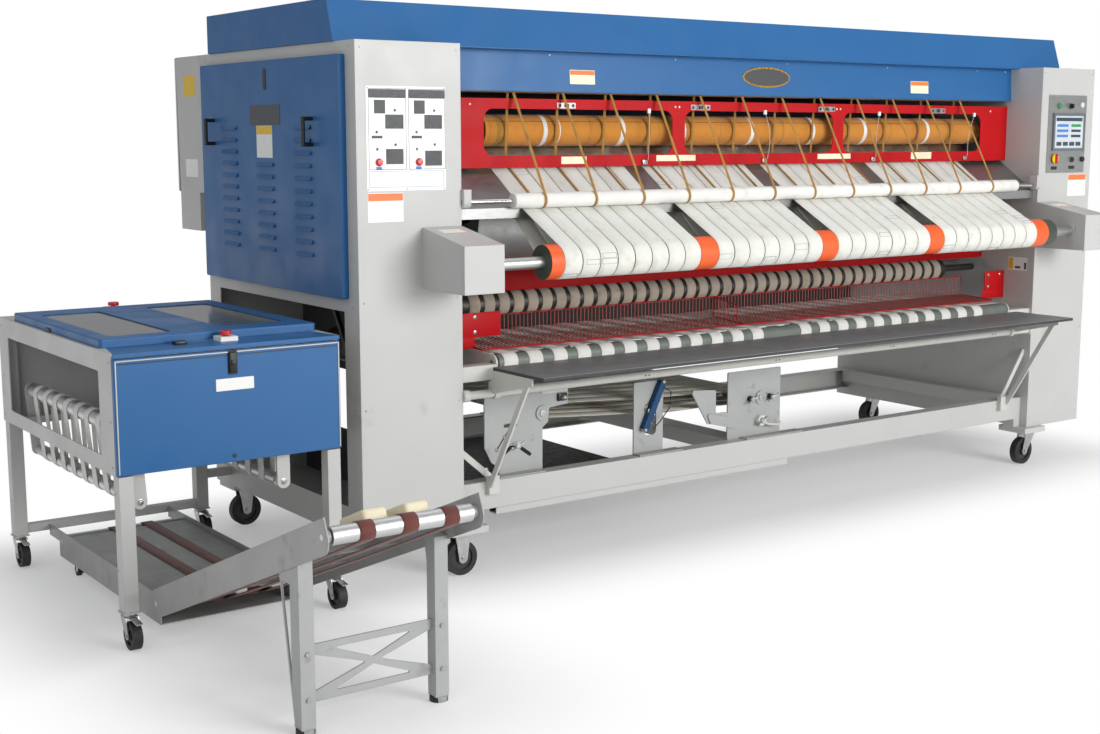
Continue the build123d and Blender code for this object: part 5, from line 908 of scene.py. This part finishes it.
def add_print(name, centre, normal, shapes):
    """Bare printed shapes on a plate: each is (right, up, width, height, corner, material) in mm from
    the centre."""
    right, upward, _ = frame_for(normal)
    made = bmesh.new()
    materials = []
    for u, v, width, height, corner, material in shapes:
        if material not in materials:
            materials.append(material)
        middle = centre + (right * u + upward * v) * MM
        corner = min(corner, width / 2 - 0.01, height / 2 - 0.01)
        outline = rounded_outline(width, height, corner, 6)
        add_prism(made, middle, normal, outline, 0.2, materials.index(material))
    piece(name, made, materials)


def outline_bars(u, v, width, height, line, material):
    """Four thin bars that frame a rectangle."""
    across, down = (width + line, line, 0.3, material), (line, height, 0.3, material)
    return [(u, v + height / 2, *across), (u, v - height / 2, *across),
            (u - width / 2, v, *down), (u + width / 2, v, *down)]


def build_board():
    """The control board on the left post: two columns with plain bars, blocks and red knobs."""
    centre = place(188, 0, 1537.5)
    rise = 1.2
    add_plate("post_board", centre, FRONT, 302, 341, WHITE, 4, rise)
    shapes = []
    for middle, block_x, block_z in ((-71.5, 105.5, -58), (79, 104, -64.5)):
        shapes += outline_bars(middle, 31, 140, 262, 1.6, PRINT)
        shapes.append((middle, 146, 138, 28, 3, PRINT))
        start = middle - 79.5
        shapes.append((start + 51, 103.5, 42, 44, 1, PRINT))
        shapes.append((start + block_x, 55.5, 69, 46, 1, PRINT))
        shapes.append((start + block_x, block_z, 66, 50, 1, PRINT))
        shapes.append((start + 40, 5.5, 40, 9, 1, PRINT))
        shapes.append((start + 46, -96, 22, 10, 1, BLUE_MARK))
        for u, v in ((108, 92.5), (109, -19.5), (39, 21.5), (40, -34)):
            shapes.append((start + u, v, 9, 9, 4.5, PRINT))
            shapes.append((start + u, v, 4, 4, 2, WHITE))
    shapes += outline_bars(0, -132, 284, 52, 1.2, BLUE_MARK)
    add_print("post_board_print", centre + Vector((0, -rise * MM, 0)), FRONT, shapes)
    knobs = bmesh.new()
    knob = [(0, 13), (3, 13), (3.6, 11), (9, 10.5), (10.5, 9), (10.8, 0)]
    for x in (83, 235):
        add_lathe(knobs, place(x, -rise, 1461), FRONT, knob, 28)
    piece("post_board_knobs", knobs, BUTTON_RED)
    rivets = bmesh.new()
    for x, z in ((43, 1702), (333, 1702), (43, 1373), (333, 1373), (188, 1702), (188, 1373)):
        add_screw(rivets, place(x, -rise, z), FRONT, 2.6, 1.6)
    piece("post_board_rivets", rivets, ZINC)


def on_canopy(x, z):
    """A point on the canopy's sloping front."""
    return place(x, 170 + (z - 1705) * 9 / 145, z)


def build_labels():
    """Bare labels, rating plates and small plates."""
    for name, x, z, width, height, low, high in (("left", 106, 1313, 134, 96, 22, 46),
                                                 ("right", 3833, 1317, 136, 102, 24, 49)):
        add_plate(f"post_label_{name}", place(x, 0, z), FRONT, width, height, WHITE,
                  bands=((low, high, ORANGE_PRINT),))
    for name, x, z in (("left", 1045, 1761), ("right", 2906, 1757)):
        add_plate(f"canopy_label_{name}", on_canopy(x, z), CANOPY, 116, 52, CREAM_PLATE,
                  bands=((8, 24, ORANGE_PRINT),))
    guard_labels = (("first", 961, 1078, 1443, 1470), ("second", 1418, 1619, 1449, 1472),
                    ("third", 2300, 2500, 1449, 1471), ("fourth", 2885, 3020, 1444, 1474))
    for name, low, high, bottom, top in guard_labels:
        add_plate(f"guard_label_{name}", place((low + high) / 2, GUARD_FRONT, (bottom + top) / 2), FRONT,
                  high - low, top - bottom, CREAM_PLATE, 1.5)
    latches = (("first", 941, 1026), ("second", 1591, 1692), ("third", 2296, 2397), ("fourth", 3008, 3103))
    for name, low, high in latches:
        middle, z = (low + high) / 2, 1657
        add_plate(f"guard_latch_plate_{name}", place(middle, GUARD_FRONT, z), FRONT,
                  high - low, 21, ZINC, 3, 1.6)
        screws = bmesh.new()
        for x in (low + 12, high - 12):
            add_screw(screws, place(x, GUARD_FRONT - 1.6, z), FRONT, 6, 2.6)
        add_box(screws, (middle - 9, 183.6, z - 7), (middle + 9, 188.6, z + 7), 1.5)
        piece(f"guard_latch_{name}", screws, EMBOSSED)
    add_plate("end_panel_plate", place(-25, 625, 1620), LEFT, 244, 70, EMBOSSED, 4, 1.2,
              body="left_end_panel")
    add_plate("end_panel_label", place(-25, 633, 1526), LEFT, 128, 113, WHITE, bands=((26, 55, YELLOW),),
              body="left_end_panel")
    wall_label = place(RIGHT_WALL, 93, 952)
    add_plate("inner_wall_label", wall_label, LEFT, 106, 62, WHITE)
    add_print("inner_wall_blocks", wall_label + Vector((-0.5 * MM, 0, 0)), LEFT,
              [(-37, 0, 26, 52, 1, YELLOW), (2, -16, 30, 10, 1, PRINT), (44, -8, 12, 32, 1, PRINT)])
    add_plate("cabinet_label_top", place(0, 1358, 1740), LEFT, 110, 80, YELLOW)
    add_plate("cabinet_label_low", place(0, 1358, 1420), LEFT, 120, 70, WHITE)
    add_plate("crossfold_label", place(-466, -48, 786), FRONT, 126, 38, WHITE, body="crossfold_front_panel")
    # on the arm boxes' sloping tops, 70 mm in front of the posts
    fall, reach = 1243 - 1194, 262
    slope = math.atan2(fall, reach)
    for name, x in (("left", 323), ("right", 3621)):
        add_plate(f"arm_label_{name}", place(x, -70, 1243 - 70 * fall / reach),
                  (0, -math.sin(slope), math.cos(slope)), 86, 58, WHITE,
                  bands=((-29, -20, ORANGE_PRINT),), up=(0, 1, 0))
    for x, z in ((3648, 1398), (3780, 1400)):
        add_plate(f"switch_plate_{x}", place(x, -4, z), FRONT, 44, 15, BLACK, 1.5, 0.6)


def build_badge():
    """An oval badge on the canopy, left bare."""
    centre = on_canopy(1980, 1780)
    rim = bmesh.new()
    add_prism(rim, centre, CANOPY, oval_outline(131, 0.315), 2.4, bevel=0.8)
    piece("badge_rim", rim, GOLD)
    face = bmesh.new()
    _, _, out = frame_for(CANOPY)
    add_prism(face, centre + out * 2.4 * MM, CANOPY, oval_outline(124, 0.276), 0.5, bevel=0.2)
    piece("badge_face", face, PRINT)


def build_screen():
    """Plain blocks on the display."""
    shapes = [(0, 58, 196, 16, 1, SCREEN_DARK)]
    for column in range(4):
        shapes.append((-72 + column * 48, -54, 38, 18, 2, SCREEN_DARK))
    for row in range(3):
        shapes.append((-48, 30 - row * 24, 84, 12, 1, BLUE_MARK))
        shapes.append((52, 30 - row * 24, 72, 12, 1, GREEN if row == 0 else SCREEN_DARK))
    add_print("screen_blocks", place(3746, -7, 1563), FRONT, shapes)


build_board()
build_labels()
build_badge()
build_screen()

# ------------------------------------------------------------------ rolls, latches, trims and screws


def build_roll_straps():
    """White straps, darker rings and the seam of the pressure roller's cover."""
    centre = place(0, *PRESSURE_ROLLER)
    cover = 58.0
    foot = cover - 0.1
    straps = bmesh.new()
    for x, width in ((920, 18), (987, 4), (1287, 22), (1595, 22), (1965, 18), (2317, 18), (2635, 20),
                     (3044, 18)):
        low, high = x - width / 2, x + width / 2
        profile = [(low, foot), (low, cover + 0.5), (low + 0.6, cover + 0.9),
                   (high - 0.6, cover + 0.9), (high, cover + 0.5), (high, foot)]
        add_lathe(straps, centre, RIGHT, profile, 48)
    piece("roll_straps", straps, BELTING, body="pressure_roller")
    rings = bmesh.new()
    for x, width in ((675, 3), (716, 22), (748, 12), (1130, 3), (1420, 8), (1468, 5), (1790, 4), (2140, 10),
                     (2800, 6), (3180, 8)):
        low, high = x - width / 2, x + width / 2
        profile = [(low, foot), (low, cover + 0.25), (high, cover + 0.25), (high, foot)]
        add_lathe(rings, centre, RIGHT, profile, 48)
    piece("roll_wear_rings", rings, TAPE, body="pressure_roller")
    seam = bmesh.new()
    angle = math.radians(35)
    y, z = PRESSURE_ROLLER[0] - cover * math.cos(angle), PRESSURE_ROLLER[1] + cover * math.sin(angle)
    add_tube(seam, [place(660, y, z), place(3395, y, z)], 0.9, 6)
    piece("roll_cover_seam", seam, BACKING, body="pressure_roller")


def build_guard_cords():
    """Thin wires in front of the windows, each from a white clip to a small block."""
    cords, clips, blocks = bmesh.new(), bmesh.new(), bmesh.new()
    for top_x, low_x, sway in ((1375, 1372, 2), (1987, 2004, 18), (2666, 2652, -8), (3300, 3262, -16)):
        points = []
        for step in range(15):
            t = step / 14
            swing = math.sin(math.pi * t)
            x = top_x + (low_x - top_x) * t + sway * swing
            points.append(place(x, 184 - 1.5 * swing, 1640 - 186 * t))
        add_tube(cords, points, 1.1, 8)
        add_box(clips, (top_x - 7, 181, 1632), (top_x + 7, GUARD_FRONT, 1650), 2.0)
        add_box(blocks, (low_x - 26, 183, 1437), (low_x - 2, GUARD_FRONT, 1455), 1.5)
        for x in (low_x - 20, low_x - 8):
            add_screw(blocks, place(x, 183, 1446), FRONT, 3.4, 1.6)
    piece("guard_wires", cords, GREY_LIGHT)
    piece("guard_wire_clips", clips, WHITE)
    piece("guard_wire_blocks", blocks, ZINC)
    dots = bmesh.new()
    for x in (1512, 1532, 2408, 2430, 560, 3420):
        add_screw(dots, place(x, GUARD_FRONT, 1658), FRONT, 4.0, 2.0)
    piece("guard_screws", dots, WHITE)


def build_crossfold_trims():
    """Pale edging, a groove, a catch, lid clips, screws and bolts of the cross folder."""
    trim = bmesh.new()
    for low, high in (((-843, -51, 885), (-106, -47.5, 889)), ((-846, -51, 545), (-842, -47.5, 888)),
                      ((-108, -51, 545), (-104, -47.5, 888))):
        add_box(trim, low, high, 1.2)
    piece("front_panel_edging", trim, GREY_LIGHT, body="crossfold_front_panel")
    line = bmesh.new()
    add_box(line, (-836, -49.2, 876), (-112, -47.6, 879), 0.6)
    add_lathe(line, place(-475, -48, 560), FRONT, [(0, 6), (3, 6), (4.5, 4.5), (5, 0)], 20)
    piece("front_panel_groove", line, SHELF_EDGE, body="crossfold_front_panel")
    latch = bmesh.new()
    add_box(latch, (-486, -58, 822), (-460, -50, 886), 3.0)
    add_box(latch, (-481, -62, 846), (-465, -56, 862), 2.0)
    piece("front_panel_catch", latch, BLACK, body="crossfold_front_panel")
    clips = bmesh.new()
    add_box(clips, (-622, 36, 909), (-582, 66, 921), 3.0)
    add_box(clips, (-842, 560, 909), (-824, 606, 923), 3.0)
    piece("lid_clips", clips, BLACK)
    screws = bmesh.new()
    for x in (-827, -123):
        for z in (560, 700, 850):
            add_screw(screws, place(x, -30, z), FRONT, 4.2, 2.0)
    for x, rear, heights in ((-850, 1090, (560, 700, 880)), (-846, 1087, (240, 480))):
        for y in (-8, rear):
            for z in heights:
                add_screw(screws, place(x, y, z), LEFT, 4.2, 2.0)
    piece("crossfold_screws", screws, ZINC)
    bolts = bmesh.new()
    for x, z in (CROSSFOLD_UPPER, CROSSFOLD_LOWER, CROSSFOLD_BAR, CROSSFOLD_RIGHT):
        add_screw(bolts, place(x, 4, z), FRONT, 7.0, 4.0, washer=11.0)
    piece("arm_bolts", bolts, ZINC)


def build_folder_hardware():
    """Bearings, clamps, wing nuts, valve and bolts on the primary folder's plates."""
    face = 100.0
    steel, dark, pale = bmesh.new(), bmesh.new(), bmesh.new()
    bearing = [(0, 27), (3, 27), (4, 26), (4, 15), (5, 14), (10, 13), (11, 0)]
    for x, z in (FOLD_LEFT, FOLD_RIGHT):
        add_lathe(steel, place(x, face - 6, z), FRONT, bearing, 36)
        for turn in (90, 210, 330):
            angle = math.radians(turn)
            screw = place(x + 21 * math.cos(angle), face - 10, z + 21 * math.sin(angle))
            add_screw(dark, screw, FRONT, 2.6, 2.0)
    for x, z in ((1901, 389), (1845, 482), (1957, 482), (683, 430)):
        add_lathe(steel, place(x, face - 22, z), FRONT, [(0, 11), (2, 12), (9, 12), (11, 10), (12, 0)], 28)
        for side in (-1, 1):
            wing = ((0, 29, 0), (14, 33, 7), (27, 33, 14))
            add_tube(steel, [place(x + side * u, face - v, z + side * w) for u, v, w in wing], 3.4, 10)
    start, end = place(602, face - 4, 420), place(700, face - 4, 545)
    add_tube(dark, [start, end], 3.5, 10)
    for t in (0.0, 0.35, 0.7, 1.0):
        add_lathe(steel, start.lerp(end, t), (98, 0, 125), [(-5, 0), (-5, 8), (5, 8), (5, 0)], 6)
    for x, z in ((632, 350), (560, 350), (780, 345), (1262, 345), (1360, 345), (1750, 345), (2000, 345),
                 (590, 620), (900, 610), (1260, 590), (1370, 590), (1750, 585), (2000, 585)):
        add_screw(steel, place(x, face, z), FRONT, 5.5, 3.0, washer=9.0)
    add_box(dark, (872, 82, 574), (912, face + 0.5, 602), 2.0)
    add_lathe(steel, place(892, 82, 588), FRONT, [(0, 9), (6, 9), (8, 7), (16, 6), (17, 0)], 24)
    add_box(pale, (800, 90, 606), (918, face + 0.5, 618), 2.0)
    hose = ((1361, 30, 585), (1400, 36, 560), (1392, 40, 500), (1350, 34, 450), (1318, 28, 418))
    add_tube(dark, [place(x, face - out, z) for x, out, z in hose], 2.2, 8)
    add_box(pale, (1296, 76, 440), (1316, 79, 500), 4.0)
    for x, z in AIR_CYLINDER:
        add_lathe(steel, place(x, face - 13, z), FRONT, [(-8, 9), (13, 9), (15, 7), (20, 6), (21, 0)], 24)
    lever = ((1889, 26, 389), (1930, 34, 372), (1978, 36, 366), (1998, 34, 372))
    add_tube(pale, [place(x, face - out, z) for x, out, z in lever], 5.5, 10)
    piece("folder_bearings_and_clamps", steel, ZINC)
    piece("folder_bolts_and_valve", dark, BLACK)
    piece("folder_levers", pale, GREY_LIGHT)


def build_body_screws():
    """Screws on the housings, their backs, the canopy, the red sheet and the support tube."""
    screws = bmesh.new()
    for x in (18, 383, 3561, 3912):
        for z in (230, 640, 1000, 1830):
            add_screw(screws, place(x, 0, z), FRONT, 3.6, 1.8)
    for y in (40, 1196):
        for z in (240, 640, 985, 1835):
            add_screw(screws, place(0, y, z), LEFT, 3.6, 1.8)
            add_screw(screws, place(3930, y, z), RIGHT, 3.6, 1.8)
    for x in (420, 900, 1500, 2100, 2700, 3300, 3500):
        add_screw(screws, place(x, 178.6, 1838), CANOPY, 3.6, 1.8)
        for z in (1700, 900):
            add_screw(screws, place(x, 1149, z), BACK, 4.0, 2.0)
    for x in (440, 700, 1300, 1900, 2500, 3100, 3500):
        add_screw(screws, place(x, 300, 1016), FRONT, 4.6, 2.4, washer=7.0)
    piece("body_screws", screws, ZINC)
    tube = bmesh.new()
    for x in (540, 1220, 1900, 2580, 3260):
        for side in (-9, 9):
            add_screw(tube, place(x + side, -10, 650), FRONT, 3.0, 1.6)
    piece("support_tube_screws", tube, EMBOSSED)


build_roll_straps()
build_guard_cords()
build_crossfold_trims()
build_folder_hardware()
build_body_screws()

# ------------------------------------------------------------------ floor, light and camera


# The floor under the ironer, the cross folder and the conveyor, as (x, y) spans in metres. Round them
# it fades to white, from FADE_START of the way, within FADE_REACH metres.
FLOOR_UNDER = (
    ((-1.54, 2.39), (-0.12, 1.05)),
    ((-2.39, -1.64), (-0.16, 0.93)),
    ((-2.28, -1.78), (-1.14, 0.2)),
)
FADE_REACH = 0.6
FADE_START = 0.3
FLOOR_HALF = 60
# name, where it stands, what it aims at, width and height in metres, watts
LAMPS = (
    ("key_light", (1.8, -8.3, 2.9), (0.2, 0.0, 0.9), (4.5, 3.0), 580),
    ("fill_light", (-6.2, -3.6, 2.6), (-0.6, 0.2, 0.9), (3.5, 3.0), 50),
    ("top_light", (0.0, 0.4, 5.2), (0.0, 0.4, 0.0), (6.0, 3.0), 60),
)
WORLD_STRENGTH = 0.42
# the camera that took the photograph: place, lens in mm, degrees down and to the right of straight back
CAMERA_AT = (-3.9127, -4.5532, 1.55)
CAMERA_LENS = 49.41
CAMERA_DOWN = 8.74
CAMERA_TURN = 35.71


def build_stage():
    """A pale floor that keeps the machine's shadow and fades to white round it."""
    bm = bmesh.new()
    bmesh.ops.create_grid(bm, x_segments=1, y_segments=1, size=FLOOR_HALF)
    mesh = bpy.data.meshes.new("studio_floor")
    bm.to_mesh(mesh)
    bm.free()
    shader = Shader("floor_white")
    shader.set("Roughness", 0.9)
    tone = shader.mix(shader.cloud(shader.noise(0.8, 2.0)), srgb(248, 248, 248), srgb(252, 252, 252))
    shader.set("Base Color", tone)
    split = shader.node("ShaderNodeSeparateXYZ")
    shader.link(shader.coords, split.inputs[0])
    nearest = None
    for spans in FLOOR_UNDER:
        squares = []
        for axis, (low, high) in enumerate(spans):
            shifted = shader.math("SUBTRACT", split.outputs[axis], (low + high) / 2)
            over = shader.math("SUBTRACT", shader.math("ABSOLUTE", shifted), (high - low) / 2)
            clear = shader.math("MAXIMUM", over, 0.0)
            squares.append(shader.math("MULTIPLY", clear, clear))
        away = shader.math("SQRT", shader.math("ADD", *squares))
        nearest = away if nearest is None else shader.math("MINIMUM", nearest, away)
    fade = shader.ramp(nearest, 0.0, FADE_REACH, FADE_START, 1.0, interpolation_type="SMOOTHSTEP")
    rays = shader.node("ShaderNodeLightPath")
    seen = shader.math("MAXIMUM", rays.outputs["Is Camera Ray"], rays.outputs["Is Glossy Ray"])
    seen = shader.math("MAXIMUM", seen, rays.outputs["Is Transmission Ray"])
    share = shader.math("MULTIPLY", seen, fade)
    white = shader.node("ShaderNodeEmission")
    white.inputs["Strength"].default_value = 1.0
    blend = shader.node("ShaderNodeMixShader")
    shader.link(share, blend.inputs[0])
    shader.link(shader.bsdf.outputs[0], blend.inputs[1])
    shader.link(white.outputs[0], blend.inputs[2])
    shader.link(blend.outputs[0], shader.tree.nodes["Material Output"].inputs["Surface"])
    mesh.materials.append(shader.material)
    floor = bpy.data.objects.new("studio_floor", mesh)
    bpy.context.scene.collection.objects.link(floor)


def build_world():
    """Even soft light, and plain white where the camera sees past the floor."""
    world = bpy.data.worlds.new("studio_world")
    bpy.context.scene.world = world
    world.use_nodes = True
    tree = world.node_tree
    tree.nodes.clear()
    out = tree.nodes.new("ShaderNodeOutputWorld")
    lit = tree.nodes.new("ShaderNodeBackground")
    lit.inputs["Color"].default_value = srgb(250, 251, 255)
    lit.inputs["Strength"].default_value = WORLD_STRENGTH
    seen = tree.nodes.new("ShaderNodeBackground")
    seen.inputs["Color"].default_value = (1, 1, 1, 1)
    seen.inputs["Strength"].default_value = 1.0
    path = tree.nodes.new("ShaderNodeLightPath")
    mix = tree.nodes.new("ShaderNodeMixShader")
    tree.links.new(path.outputs["Is Camera Ray"], mix.inputs[0])
    tree.links.new(lit.outputs[0], mix.inputs[1])
    tree.links.new(seen.outputs[0], mix.inputs[2])
    tree.links.new(mix.outputs[0], out.inputs[0])


def add_lamp(name, where, aim, size, power):
    lamp = bpy.data.lights.new(name, "AREA")
    lamp.shape = "RECTANGLE"
    lamp.size, lamp.size_y = size
    lamp.energy = power
    made = bpy.data.objects.new(name, lamp)
    made.location = where
    made.rotation_euler = (Vector(aim) - Vector(where)).to_track_quat("-Z", "Y").to_euler()
    bpy.context.scene.collection.objects.link(made)


def build_camera():
    camera = bpy.data.cameras.new("camera")
    camera.sensor_width = 36.0
    camera.lens = CAMERA_LENS
    made = bpy.data.objects.new("camera", camera)
    made.location = CAMERA_AT
    made.rotation_euler = (math.radians(90 - CAMERA_DOWN), 0, math.radians(-CAMERA_TURN))
    bpy.context.scene.collection.objects.link(made)
    bpy.context.scene.camera = made


build_stage()
build_world()
for lamp_row in LAMPS:
    add_lamp(*lamp_row)
build_camera()
bpy.context.scene.view_settings.view_transform = "Standard"
